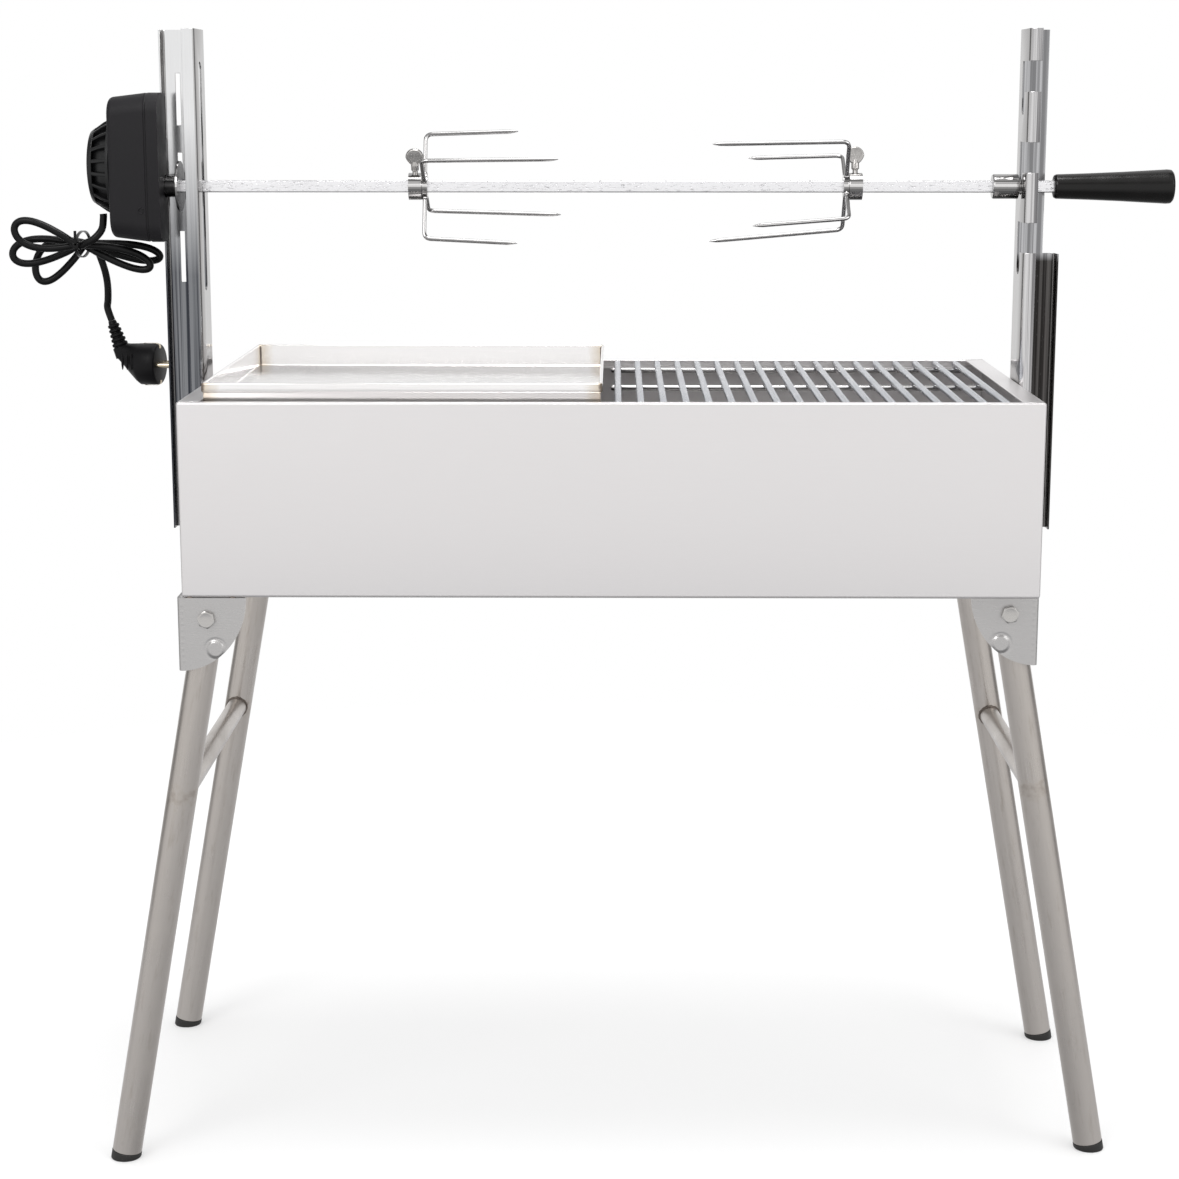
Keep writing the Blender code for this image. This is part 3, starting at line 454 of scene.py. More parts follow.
def post_look(name, side):
    """Polished channel with painted reflections and shade: upright streaks and dark tones painted on the faces
    that look forward, and a flat painted shade on the other faces, darker on those that look inward.
    """
    look = brushed(name, (0.90, 0.90, 0.905), 0.12, (0.0006, 0.0006, 0.05), spread=0.04,
                   depth=0.006 * MM, cloud=0.03, worn=0.03)
    _, y, z = look.parts(look.coords)
    across, along, _ = look.facing()
    # painted reflection streaks: upright bands that darken and lighten the forward faces
    streak = look.span(look.grain((0.0030, 0.0030, 0.60), 3.0, 0.6), 0.42, 0.58, 0, 1)
    speck = look.span(look.grain((0.0008, 0.0008, 0.003), 4.0, 0.7), 0.64, 0.76, 0, 0.3)
    # faces that look forward get painted reflection tones; faces that look inward get a darker painted shade
    forward = look.span(along, -0.6, -0.85, 0, 1)
    inward = look.span(look.math("MULTIPLY", across, -side), 0.6, 0.85, 0, 1)
    if side < 0:
        # painted shade on the left post: its forward faces are dark with painted streaks below 0.745 m and light
        # above 0.875 m
        low = look.span(z, 0.745, 0.875, 1, 0)
        low = look.math("MULTIPLY", low, look.span(streak, 0, 1, 1.0, 0.86))
        dark = look.mix(streak, (0.042, 0.046, 0.056), (0.135, 0.142, 0.156))
        tone = look.mix(low, (0.86, 0.86, 0.86), dark)
    else:
        # painted reflections on the right post: a lighter lip at the front, a near-black painted shade on the
        # flange behind it below 0.755 m, mid grey above 0.762 m
        front = look.span(y, -2 * MM, 2 * MM, 1, 0)
        lip = look.mix(streak, (0.20, 0.195, 0.20), (0.72, 0.71, 0.71))
        deep = look.mix(streak, (0.026, 0.024, 0.023), (0.11, 0.104, 0.10))
        upper = look.mix(streak, (0.24, 0.24, 0.245), (0.55, 0.55, 0.56))
        flange = look.mix(look.span(z, 0.755, 0.762, 0, 1), deep, upper)
        tone = look.mix(front, flange, lip)
    tone = look.mix(speck, tone, (0.5, 0.5, 0.5))
    # painted shade on faces that do not look forward: lighter on most, darker on those that look inward
    plain = look.mix(inward, (0.62, 0.61, 0.60), (0.32, 0.31, 0.305))
    look.shade(look.mix(forward, plain, tone))
    return look.material


# the turned parts and the grate's cross rods carry painted reflection bands
TURNED_LOOK = chrome("turned_polish_painted_bands", (0.0005, 0.006, 0.006), CHROME)
ROD_LOOK = chrome("grate_rod_painted_bands", (0.03, 0.0006, 0.0006), RODS, 0.16)
POST_LOOKS = {"left": post_look("post_painted_reflections_left", -1),
              "right": post_look("post_painted_reflections_right", 1)}
BAR_LOOK = brushed("grate_bar_grey", (0.500, 0.515, 0.550), 0.32,
                   (0.0008, 0.03, 0.0008)).material


def pan_look():
    look = brushed("pan_polish", (0.88, 0.865, 0.86), 0.17, (0.030, 0.030, 0.0006),
                   spread=0.04, depth=0.008 * MM, cloud=0.02, worn=0.02, metallic=0.85)
    low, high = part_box("roasting_pan")
    heat_tint(look, look.distance_to_corners(low, high), 0.0036, 0.016)
    # painted shade: faces that look up, such as the pan's floor, are darkened to 70 per cent
    look.shade(look.ramp(look.facing()[2], ((-1.0, 1.0), (0.7, 1.0), (0.95, 0.70), (1.0, 0.70))))
    return look.material


def spit_look():
    """Rolled bar: streaky scale marks along it and small pits, with painted reflection bands by the height of its
    surface direction.
    """
    look = brushed("spit_bar", (0.86, 0.855, 0.87), 0.26, (0.020, 0.0016, 0.0016), spread=0.10,
                   depth=0.06 * MM)
    pits = look.span(look.grain((0.0060, 0.0012, 0.0012), 5.0, 0.7), 0.56, 0.68, 0, 1)
    base = look.source("Base Color")
    look.set("Base Color", look.mix(look.math("MULTIPLY", pits, 0.75), base, (0.30, 0.29, 0.31)))
    first = look.source("Normal")
    look.set("Normal", look.bump(pits, -0.12 * MM, normal=first))
    # painted reflection and shade: dark on faces that look down, brightest on faces that look sideways, mid grey
    # on top
    look.shade(look.ramp(look.facing()[2], ((-1.0, 0.18), (-0.30, 0.22), (-0.06, 1.0),
                                            (0.10, 1.0), (0.5, 0.62), (1.0, 0.66))))
    return look.material


def tube_look(name, side, weld_points):
    """Brown-grey drawn tube, darker round its welds."""
    lean = (0, -side * SPLAY, 0)
    look = brushed(name, TUBE_TONE, 0.36, (0.0010, 0.0010, 0.06), lean, spread=0.07,
                   depth=0.02 * MM, cloud=0.16, worn=0.08)
    base = look.source("Base Color")
    stain = look.span(look.grain((0.004, 0.004, 0.03), 5.0, 0.7, lean), 0.55, 0.72, 0, 0.45)
    look.set("Base Color", look.mix(stain, base, (0.33, 0.29, 0.25)))
    nearest = None
    for point in weld_points:
        gap = look.distance_to(point)
        nearest = gap if nearest is None else look.math("MINIMUM", nearest, gap)
    return heat_tint(look, nearest, 0.0140, 0.0165, burnt=(0.30, 0.26, 0.23),
                     straw=(0.44, 0.40, 0.36)).material


def weld_look():
    look = brushed("weld_scale", (0.20, 0.17, 0.15), 0.42, (0.0012, 0.0012, 0.0012),
                   depth=0.08 * MM, cloud=0.4)
    return look.material


def plain_steel():
    """Hot-rolled bar, pickled grey with a little dark scale left on it."""
    look = brushed("pickled_steel", (0.86, 0.85, 0.84), 0.45, (0.05, 0.0015, 0.0015), cloud=0.1,
                   metallic=0.35)
    base = look.source("Base Color")
    scale = look.span(look.grain((0.02, 0.01, 0.01), 5.0, 0.65), 0.52, 0.68, 0, 0.6)
    look.set("Base Color", look.mix(scale, base, (0.46, 0.44, 0.44)))
    return look.material


def moulded(name, colour, roughness, texture, depth, **extra):
    """Plastic or rubber with a fine moulded texture and slight handling marks."""
    look = Look(name, colour, roughness, 0.0, **extra)
    fine = look.grain((texture, texture, texture), 3.0, 0.6)
    marks = look.grain((0.025, 0.025, 0.025), 4.0, 0.6)
    look.set("Roughness", look.span(marks, 0.3, 0.7, roughness - 0.06, roughness + 0.08))
    pale = [c * 1.6 + 0.001 for c in colour]
    look.set("Base Color", look.mix(look.span(marks, 0.45, 0.8, 0.0, 0.5), colour, pale))
    look.set("Normal", look.bump(fine, depth))
    return look.material


WELD = weld_look()
PLAIN = plain_steel()
HOUSING = moulded("spark_textured_black", (0.0062, 0.0056, 0.0070), 0.50, 0.0007, 0.10 * MM,
                  Specular_IOR_Level=0.24)
FIN_BLACK = moulded("smooth_black", (0.0035, 0.0035, 0.0040), 0.30, 0.0020, 0.02 * MM,
                    Specular_IOR_Level=0.35)
HANDLE_LOOK = moulded("gloss_black", (0.0022, 0.0018, 0.0016), 0.22, 0.0060, 0.04 * MM,
                      Specular_IOR_Level=0.30)
CORD_LOOK = moulded("cord_black", (0.0022, 0.0022, 0.0024), 0.32, 0.0012, 0.03 * MM,
                    Specular_IOR_Level=0.20)
PLUG_LOOK = moulded("plug_black", (0.0026, 0.0024, 0.0030), 0.42, 0.0009, 0.06 * MM,
                    Specular_IOR_Level=0.16)
FOOT_LOOK = moulded("foot_rubber", (0.014, 0.013, 0.012), 0.62, 0.0010, 0.08 * MM)
PIN_LOOK = brushed("pin_plate", (0.66, 0.58, 0.44), 0.20, (0.0100, 0.0006, 0.0006),
                   spread=0.05).material


# ------------------------------------------------------------------ trough and inserts
def dish(work, centre, half_x, half_y, stations, corner, segments=6):
    """Tray skinned through (inset x, inset y, height) stations from outside to inside."""
    loops = []
    for inset_x, inset_y, height in stations:
        radius = max(corner - min(inset_x, inset_y), 0.4 * MM)
        outline = round_rect(half_x - inset_x, half_y - inset_y, radius, segments)
        loops.append([(centre.x + x, centre.y + y, height) for x, y in outline])
    loft(work, loops)


CORNERS = [(way_x, way_y) for way_x in (-1, 1) for way_y in (-1, 1)]


def at_corner(centre, half, way, inset_x, inset_y, level):
    """Point inset from one upright corner of a box, at a height."""
    return Vector((centre.x + way[0] * (half.x - inset_x),
                   centre.y + way[1] * (half.y - inset_y), level))


def straight(start, end, steps=16):
    return [start.lerp(end, k / steps) for k in range(steps + 1)]


def arc_down(inset, level, radius, steps=5):
    """Stations round a floor fold, from the floor out to the wall."""
    return [(inset + radius * (1 - math.sin(a)),) * 2 + (level + radius * (1 - math.cos(a)),)
            for a in [math.pi / 2 * k / steps for k in range(steps + 1)]]


def build_trough():
    low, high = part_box("trough")
    end_lip, side_lip = 18 * MM, 8 * MM
    bend, fold = 2.5 * MM, 1.8 * MM
    outside = arc_down(0.0, low.z, bend)
    rim = [(fold * (1 - math.cos(a)),) * 2 + (high.z - fold + fold * math.sin(a),)
           for a in [math.pi / 2 * k / 5 for k in range(6)]]
    lip = [(end_lip - GAP, side_lip - GAP, high.z), (end_lip, side_lip, high.z - GAP),
           (end_lip, side_lip, high.z - SHEET + GAP), (end_lip - GAP, side_lip - GAP,
            high.z - SHEET)]
    under = [(fold, fold, high.z - SHEET), (SHEET, SHEET, high.z - SHEET - GAP)]
    inside = arc_down(SHEET, low.z + SHEET, 1.0 * MM)[::-1]
    work = bmesh.new()
    centre, half = (low + high) / 2, (high - low) / 2
    dish(work, centre, half.x, half.y, outside + rim + lip + under + inside, bend)
    piece("trough_sheet", work, TROUGH_LOOK, ["trough"])
    work = bmesh.new()
    level = high.z - 0.35 * MM
    for way in CORNERS:
        bead(work, straight(at_corner(centre, half, way, 1.2 * MM, 1.2 * MM, level),
                            at_corner(centre, half, way, end_lip, side_lip, level)), 0.55 * MM)
    piece("trough_mitre_welds", work, LIP_LOOK, ["trough"], stands=False)


def build_rails():
    for end, way in ENDS:
        low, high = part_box(f"rail_{end}")
        outer, inner = (high.y, low.y) if way > 0 else (low.y, high.y)
        ledge = [(inner, high.z), (outer, high.z), (outer, low.z)]
        path = soften(ledge, 1.8 * MM)
        work = bmesh.new()
        sheet_along_x(work, path, low.x, high.x, -way * 1.2 * MM)
        piece(f"rail_{end}_angle", work, TROUGH_LOOK, [f"rail_{end}"])


def sheet_along_x(work, path, low, high, thickness):
    """Folded strip: a path in the YZ plane, drawn out along X, with its thickness inwards."""
    skin = []
    for k, point in enumerate(path):
        along = (path[min(k + 1, len(path) - 1)] - path[max(k - 1, 0)]).normalized()
        skin.append(point + Vector((-along.y, along.x, 0)) * thickness)
    outline = path + skin[::-1]
    loft(work, [[(x, p.x, p.y) for p in outline] for x in (low, high)])


def build_pan():
    low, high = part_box("roasting_pan")
    centre, half = (low + high) / 2, (high - low) / 2
    step, hem, wall = 1.5 * MM, 7 * MM, 1.2 * MM
    joggle = high.z - hem
    top = (step + wall) / 2
    outside = arc_down(step, low.z, 2.0 * MM)
    outside += [(step, step, joggle - 1.4 * MM), (0.75 * step, 0.75 * step, joggle - 0.7 * MM),
                (0.2 * step, 0.2 * step, joggle), (0.0, 0.0, joggle + 0.7 * MM)]
    rim = [(top * (1 - math.cos(a)),) * 2 + (high.z - top + top * math.sin(a),)
           for a in [math.pi * k / 8 for k in range(9)]]
    inside = arc_down(wall + step, low.z + wall, 1.6 * MM)[::-1]
    work = bmesh.new()
    dish(work, centre, half.x, half.y, outside + rim + inside, 1.8 * MM)
    piece("pan_shell", work, pan_look(), ["roasting_pan"])
    work = bmesh.new()
    inner = (wall + step + 0.2 * MM, low.z + 2 * MM, high.z - 1.6 * MM, 1.0 * MM)
    outer = (step + 0.9 * MM, low.z + 1.5 * MM, joggle - 1.0 * MM, 0.8 * MM)
    for way in CORNERS:
        for inset, foot, top, size in (inner, outer):
            bead(work, straight(at_corner(centre, half, way, inset, inset, foot),
                                at_corner(centre, half, way, inset, inset, top)), size)
    piece("pan_corner_welds", work, WELD, ["roasting_pan"], stands=False)


def build_grill_grate():
    low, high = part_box("grill_grate")
    bars, bar, wire = 18, 3 * MM, 2.5 * MM
    overhang, rod_reach = 6 * MM, 0.145
    bar_z, wire_z = high.z - bar, low.z + wire
    first, last = low.x + overhang, high.x - overhang
    places = [first + (last - first) * k / (bars - 1) for k in range(bars)]
    work = bmesh.new()
    for x in places:
        rod(work, (x, low.y, bar_z), (x, high.y, bar_z), bar)
    piece("grate_bars", work, BAR_LOOK, ["grill_grate"])
    work = bmesh.new()
    for y in (-rod_reach, 0.0, rod_reach):
        rod(work, (low.x, y, wire_z), (high.x, y, wire_z), wire)
        for x in places:
            blob(work, (x, y, (bar_z + wire_z) / 2 - 0.2 * MM), (2.6 * MM, 3.0 * MM, 1.4 * MM))
    piece("grate_cross_rods", work, ROD_LOOK, ["grill_grate"], stands=False)


def build_coal_grate():
    low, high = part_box("coal_grate")
    bars, bar = 9, 3.5 * MM
    edge, stand_reach = 6 * MM, 0.26
    work = bmesh.new()
    for k in range(bars):
        y = low.y + edge + (high.y - low.y - 2 * edge) * k / (bars - 1)
        rod(work, (low.x, y, high.z - bar), (high.x, y, high.z - bar), bar, 12)
    for x in (TROUGH_MIDDLE - stand_reach, TROUGH_MIDDLE, TROUGH_MIDDLE + stand_reach):
        slab(work, (x - 2 * MM, low.y, low.z), (x + 2 * MM, high.y, high.z - bar - MM))
    piece("coal_grate_bars", work, PLAIN, ["coal_grate"])


# ------------------------------------------------------------------ posts
def refine(name, node, look, width, segments=2, sharp=38):
    """Copy of a flat-sided node with its corners softened."""
    source = frame["nodes"][node].data
    work = bmesh.new()
    work.from_mesh(source)
    bmesh.ops.remove_doubles(work, verts=work.verts, dist=0.01 * MM)
    bmesh.ops.dissolve_limit(work, angle_limit=math.radians(1), verts=work.verts,
                             edges=work.edges)
    made = piece(name, work, look, [node], sharp)
    soft = made.modifiers.new("soft_edges", "BEVEL")
    soft.width = width
    soft.segments = segments
    soft.limit_method = "ANGLE"
    soft.angle_limit = math.radians(45)
    soft.harden_normals = False
    return made


def build_posts():
    refine("motor_post_sheet", "motor_post", POST_LOOKS["left"], 0.25 * MM)
    refine("notched_post_sheet", "notched_post", POST_LOOKS["right"], 0.25 * MM)
    for label, side in SIDES:
        for position in ("lower", "upper"):
            node = f"post_bolt_{position}_{label}"
            low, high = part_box(node)
            centre = (low + high) / 2
            head_x = low.x if side > 0 else high.x
            place = facing(Vector((head_x + side * 4 * MM, centre.y, centre.z)), (-side, 0, 0))
            length = high.x - low.x - 4 * MM
            work = bmesh.new()
            hex_piece(work, 10 * MM, 0.0, 4 * MM, place)
            threaded(work, 3 * MM, -length, 1 * MM, place, pitch=1.0 * MM, depth=0.3 * MM)
            piece(f"{node}_steel", work, FASTENER, [node])
            nut = node.replace("bolt", "nut")
            low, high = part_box(nut)
            thick = (high.x - low.x) / 2
            place = facing((low + high) / 2, (side, 0, 0))
            work = bmesh.new()
            hex_piece(work, 10 * MM, -thick, thick, place, bore=3.1 * MM, crown_low=True)
            piece(f"{nut}_steel", work, FASTENER, [nut])


# ------------------------------------------------------------------ spit, forks and handle
def build_spit():
    low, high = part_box("spit_rod")
    half = high.y
    loops = []
    for x, inset in ((low.x, MM), (low.x + MM, 0.0), (high.x - MM, 0.0), (high.x, MM)):
        outline = round_rect(half - inset, half - inset, 0.9 * MM, 4)
        loops.append([(x, y, SPIT_AXIS.z + z) for y, z in outline])
    work = bmesh.new()
    loft(work, loops)
    piece("spit_bar", work, spit_look(), ["spit_rod"])

    place = ON_SPIT
    bore = half + GAP
    low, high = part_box("spit_bushing")
    flange, neck_low = high.x - 6 * MM, low.x + 22 * MM
    work = bmesh.new()
    sleeve(work, [(9.7 * MM, low.x), (10.5 * MM, low.x + MM), (10.5 * MM, neck_low),
                  (6.4 * MM, neck_low), (6.4 * MM, flange), (9.0 * MM, flange),
                  (9.0 * MM, high.x)], bore, place, fillet=0.5 * MM)
    piece("bushing_turned", work, TURNED_LOOK, ["spit_bushing"])

    low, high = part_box("spit_handle")
    butt = high.z - SPIT_AXIS.z
    work = bmesh.new()
    sleeve(work, [(8.0 * MM, low.x), (9.4 * MM, low.x + 0.2 * MM), (10.4 * MM, low.x + 2.2 * MM),
                  (11.3 * MM, low.x + 0.030), (12.5 * MM, low.x + 0.058),
                  (butt, high.x - 6 * MM), (butt - 0.3 * MM, high.x - 2.4 * MM),
                  (butt - 2.0 * MM, high.x - 0.7 * MM), (4 * MM, high.x)],
           bore, place, blind=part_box("spit_rod")[1].x + 2 * MM, fillet=1.6 * MM)
    piece("handle_grip", work, HANDLE_LOOK, ["spit_handle"], sharp=60)

    low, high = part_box("drive_socket")
    flange = high.z - SPIT_AXIS.z
    work = bmesh.new()
    sleeve(work, [(flange, high.x), (flange, high.x - 2 * MM), (9.2 * MM, high.x - 2 * MM),
                  (9.2 * MM, low.x)], bore, place, blind=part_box("spit_rod")[0].x - GAP,
           fillet=0.5 * MM)
    piece("socket_turned", work, TURNED_LOOK, ["drive_socket"])


FORKS = {
    "left": {"toward": 1, "angles": (151, 70), "lengths": (0.116, 0.080), "droop": 0.5},
    "right": {"toward": -1, "angles": (125, 33), "lengths": (0.116, 0.082), "droop": 3.0},
}
TINE_REACH = 46.5 * MM
WIRE = 1.8 * MM


def tine_path(hub, toward, angle, length, droop):
    """Out from the collar, round a bend, along the spit and slightly outwards to a point."""
    arm = Vector((0, math.cos(angle), math.sin(angle)))
    ahead = Vector((toward, 0, 0)) + arm * math.tan(math.radians(2.5))
    ahead += Vector((0, 0, -math.tan(math.radians(droop))))
    corner = hub + arm * TINE_REACH
    bend = 6 * MM
    before, after = corner - arm * bend, corner + ahead * bend
    steps = 10
    path = [hub + arm * 8.2 * MM, hub + arm * 20 * MM]
    path += [before.lerp(corner, t).lerp(corner.lerp(after, t), t)
             for t in [k / steps for k in range(steps + 1)]]
    tip = corner + ahead * length
    path += [after.lerp(tip, t) for t in (0.35, 0.7, 0.88)]
    radii = [WIRE] * len(path)
    for back, share in ((7, 0.9), (4, 0.62), (1.6, 0.34), (0.2, 0.14)):
        path.append(tip - ahead * back * MM)
        radii.append(WIRE * share)
    return path, radii


def build_forks():
    for side, fork in FORKS.items():
        screw = JOINT[f"thumb_screw_{side}_turn"]
        origin = Vector(screw["pos_m"])
        toward = fork["toward"]
        half, wire_x = 5.75 * MM, 7.95 * MM
        shoulder = half + 2 * WIRE + MM
        place = Matrix.Translation(origin) @ (ALONG_X if toward > 0 else
                                              Matrix.Rotation(math.pi, 4, "Z") @ ALONG_X)
        work = bmesh.new()
        sleeve(work, [(11.5 * MM, -half), (11.5 * MM, half), (10.0 * MM, half),
                      (10.0 * MM, shoulder)], 5.3 * MM, place, fillet=0.7 * MM)
        hub = origin + Vector((toward * wire_x, 0, 0))
        for angle, length in zip(fork["angles"], fork["lengths"]):
            for half_turn in (0, 180):
                turn = math.radians(angle + half_turn)
                path, radii = tine_path(hub, toward, turn, length, fork["droop"])
                sweep(work, path, radii)
                arm = Vector((0, math.cos(turn), math.sin(turn)))
                blob(work, hub + arm * 10.4 * MM, (2.4 * MM, 2.6 * MM, 2.6 * MM))
        piece(f"fork_{side}_welded", work, TURNED_LOOK, [f"spit_fork_{side}"], sharp=45)
        build_thumb_screw(side, facing(origin, screw["axis"]))


def build_thumb_screw(side, place):
    """Spade head with pressed ribs on a threaded shank."""
    work = bmesh.new()
    head_z, radius, thick = 26.5 * MM, 7.8 * MM, 2.0 * MM
    made = bmesh.ops.create_uvsphere(work, u_segments=64, v_segments=40, radius=1.0)["verts"]
    for vert in made:
        x, y, z = vert.co
        rim = math.sqrt(x * x + z * z)
        rib = 0.35 * MM * math.cos(2 * math.pi * x * radius / (2.1 * MM))
        flat = math.copysign(min(abs(y) * 2.2, 1.0), y) * thick
        flat += math.copysign(rib * max(0.0, 1 - rim ** 4), y) if abs(y) > 0.05 else 0.0
        waist = 1.0 - 0.25 * max(0.0, -z)
        vert.co = place @ Vector((x * radius * waist, flat, head_z + z * radius))
    turned(work, [(2.6 * MM, 23 * MM), (3.4 * MM, 19.5 * MM), (3.4 * MM, 15 * MM),
                  (2.4 * MM, 14.4 * MM)], place, 0.5 * MM, 24)
    threaded(work, 2.4 * MM, 6.6 * MM, 16 * MM, place, pitch=0.8 * MM, depth=0.25 * MM)
    piece(f"thumb_screw_{side}_spade", work, FASTENER, [f"thumb_screw_{side}"], sharp=50)


# ------------------------------------------------------------------ motor, cord and plug
def x_loops(centre, stations, corner=8):
    """Rounded rectangles in the YZ plane from (x, half y, half z, radius) stations."""
    return [[(x, centre.y + y, centre.z + z) for y, z in round_rect(hy, hz, radius, corner)]
            for x, hy, hz, radius in stations]


def build_motor():
    low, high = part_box("motor_housing")
    centre, half = (low + high) / 2, (high - low) / 2
    draft, corner, fold, wall = 4 * MM, 16 * MM, 4.5 * MM, 2.5 * MM
    depth = high.x - low.x

    def station(x, inset):
        shrink = draft * (high.x - x) / depth + inset
        return (x, half.y - shrink, half.z - shrink, max(corner - inset, 3 * MM))

    outside = []
    for k in range(7):
        a = math.pi / 2 * k / 6
        outside.append(station(low.x + fold * (1 - math.sin(a)), fold * (1 - math.cos(a))))
    outside = outside[::-1]
    groove = [station(high.x - 2.0 * MM, 0.0), station(high.x - 1.4 * MM, 0.7 * MM),
              station(high.x - 0.6 * MM, 0.7 * MM), station(high.x, 0.9 * MM)]
    inside = [station(high.x, wall), station(low.x + wall + MM, wall)]
    work = bmesh.new()
    loft(work, x_loops(centre, outside + groove + inside))
    hole = facing(Vector((high.x - 6 * MM, low.y + 0.9 * MM, low.z + 27 * MM)), (0, -1, 0))
    rim = ((2.9, -0.6), (2.7, 0.7), (2.3, 0.9), (1.9, 0.5), (1.8, -0.6))
    loft(work, [circle(r * MM, h * MM, 24) for r, h in rim], ring=True, place=hole)
    piece("motor_cover", work, HOUSING, ["motor_housing"])
    work = bmesh.new()
    turned(work, [(1.75 * MM, -1.2 * MM), (1.75 * MM, -0.1 * MM), (0.5 * MM, 0)], hole,
           0.1 * MM, 24)
    piece("motor_cover_screw", work, FIN_BLACK, ["motor_housing"], stands=False)
    refine("motor_backplate", "motor_base", HOUSING, 1.2 * MM, 3)
    refine("motor_hook", "motor_clip", FIN_BLACK, 0.4 * MM)
    refine("gear_motor_block", "gear_motor", FASTENER, 1.5 * MM, 3)


def build_vent_cap():
    """Ribbed cone: a dark drum, ribs round it, a foot ring and a face disc."""
    low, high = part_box("motor_vent_cap")
    middle = (low + high) / 2
    place = facing(Vector((high.x, middle.y, middle.z)), (-1, 0, 0))
    radius, depth = (high.y - low.y) / 2, high.x - low.x
    face, shoulder, bend = 32 * MM, 38.6 * MM, 0.42 * depth

    def cone(height):
        """Outer radius of the cover: a steep foot, then a longer slope to the face."""
        if height < bend:
            return radius + (shoulder - radius) * height / bend
        return shoulder + (face - shoulder) * (height - bend) / (depth - 3 * MM - bend)

    work = bmesh.new()
    drum = 4.5 * MM
    turned(work, [(radius - drum - MM, 0.2 * MM), (cone(bend) - drum, bend),
                  (face - drum, depth - 3.5 * MM)], place, steps=64)
    turned(work, [(radius, 0.0), (radius - 0.6 * MM, 2.6 * MM), (radius - 3 * MM, 3.0 * MM),
                  (30 * MM, 3.0 * MM)], place, steps=96)
    turned(work, [(face - 3 * MM, depth - 5.5 * MM), (cone(depth - 5.5 * MM), depth - 5.5 * MM),
                  (face + 0.3 * MM, depth - 3.4 * MM), (face - 1.2 * MM, depth - 1.3 * MM),
                  (face - 4.5 * MM, depth - 0.4 * MM), (10 * MM, depth)], place, 1.0 * MM, 96)
    ribs = 20
    levels = [2 * MM, 0.5 * bend, bend, 0.7 * depth, depth - 5 * MM]
    for k in range(ribs):
        spin = place @ Matrix.Rotation(2 * math.pi * (k + 0.5) / ribs, 4, "Z")
        outline = [(cone(h) - drum - MM, h) for h in levels[::-1]]
        outline += [(cone(h) - 0.2 * MM, h) for h in levels]
        middle_of = [0.5 * MM if index >= len(levels) else 0.0 for index in range(len(outline))]
        loops = []
        for y, share in ((-1.5, 1.0), (-1.0, 0.3), (0.0, 0.0), (1.0, 0.3), (1.5, 1.0)):
            loops.append([(r - pull * share, y * MM, h)
                          for (r, h), pull in zip(outline, middle_of)])
        loft(work, loops, place=spin)
    piece("vent_cap_ribbed", work, FIN_BLACK, ["motor_vent_cap"])


def plug_place():
    """Matrix of the plug: local X along the pins, local Z up."""
    first, second = centre_of("plug_pin_1"), centre_of("plug_pin_2")
    across = (second - first).normalized()
    ahead = Vector((across.y, -across.x, 0))
    origin = (first + second) / 2 - ahead * 12.25 * MM
    turn = Matrix((ahead, across, Vector((0, 0, 1)))).transposed().to_4x4()
    return Matrix.Translation(origin) @ turn


RELIEF_FOOT = Vector((-24.0, 0, 6.1)) * MM
RELIEF_TOP = Vector((-34.5, 0, 37.7)) * MM
CORD_LOOPS = ((-56, 14, -13), (60, 9, 18), (-62, 13, 9), (66, 8, 11), (-46, 20, 23))


def cord_path(plug_frame):
    """Out of the vent cap, half loops through the tie, then down to the plug's boot."""
    tie = centre_of("cable_tie")
    start = tie + Vector((23, -20, 23.5)) * MM
    path = [start + Vector((0, 0, 3.6)) * MM, start, start + Vector((-2, 1, -10)) * MM,
            start + Vector((-9, 0, -18)) * MM, tie + Vector((7, -19, 2)) * MM]
    steps = 12
    layer = 7.6
    for number, (reach, height, droop) in enumerate(CORD_LOOPS):
        for step in range(steps):
            a = math.pi * step / steps
            x = reach * math.sin(a)
            z = 0.8 * height * math.sin(2 * a) - droop * math.sin(a)
            path.append(tie + Vector((x, -19 + layer * (number + step / steps), z)) * MM)
    path.append(tie + Vector((0, -19 + layer * len(CORD_LOOPS), 0)) * MM)
    start = path[-1] + Vector((8, 1, -5)) * MM
    along = (RELIEF_TOP - RELIEF_FOOT).normalized()
    last = plug_frame @ (RELIEF_TOP + along * 12 * MM)
    for step in range(9):
        sag = Vector((4 * math.sin(math.pi * step / 8), 0, 0)) * MM
        path.append(start.lerp(last, step / 8) + sag)
    path.append(plug_frame @ (RELIEF_TOP + along * 0.6 * MM))
    return path


def smooth_path(points, steps=4):
    """Catmull-Rom curve through the points."""
    padded = [points[0]] + list(points) + [points[-1]]
    path = []
    for a, b, c, d in zip(padded, padded[1:], padded[2:], padded[3:]):
        for k in range(steps):
            t = k / steps
            path.append(0.5 * ((2 * b) + (c - a) * t + (2 * a - 5 * b + 4 * c - d) * t ** 2
                               + (3 * b - a - 3 * c + d) * t ** 3))
    return path + [points[-1]]


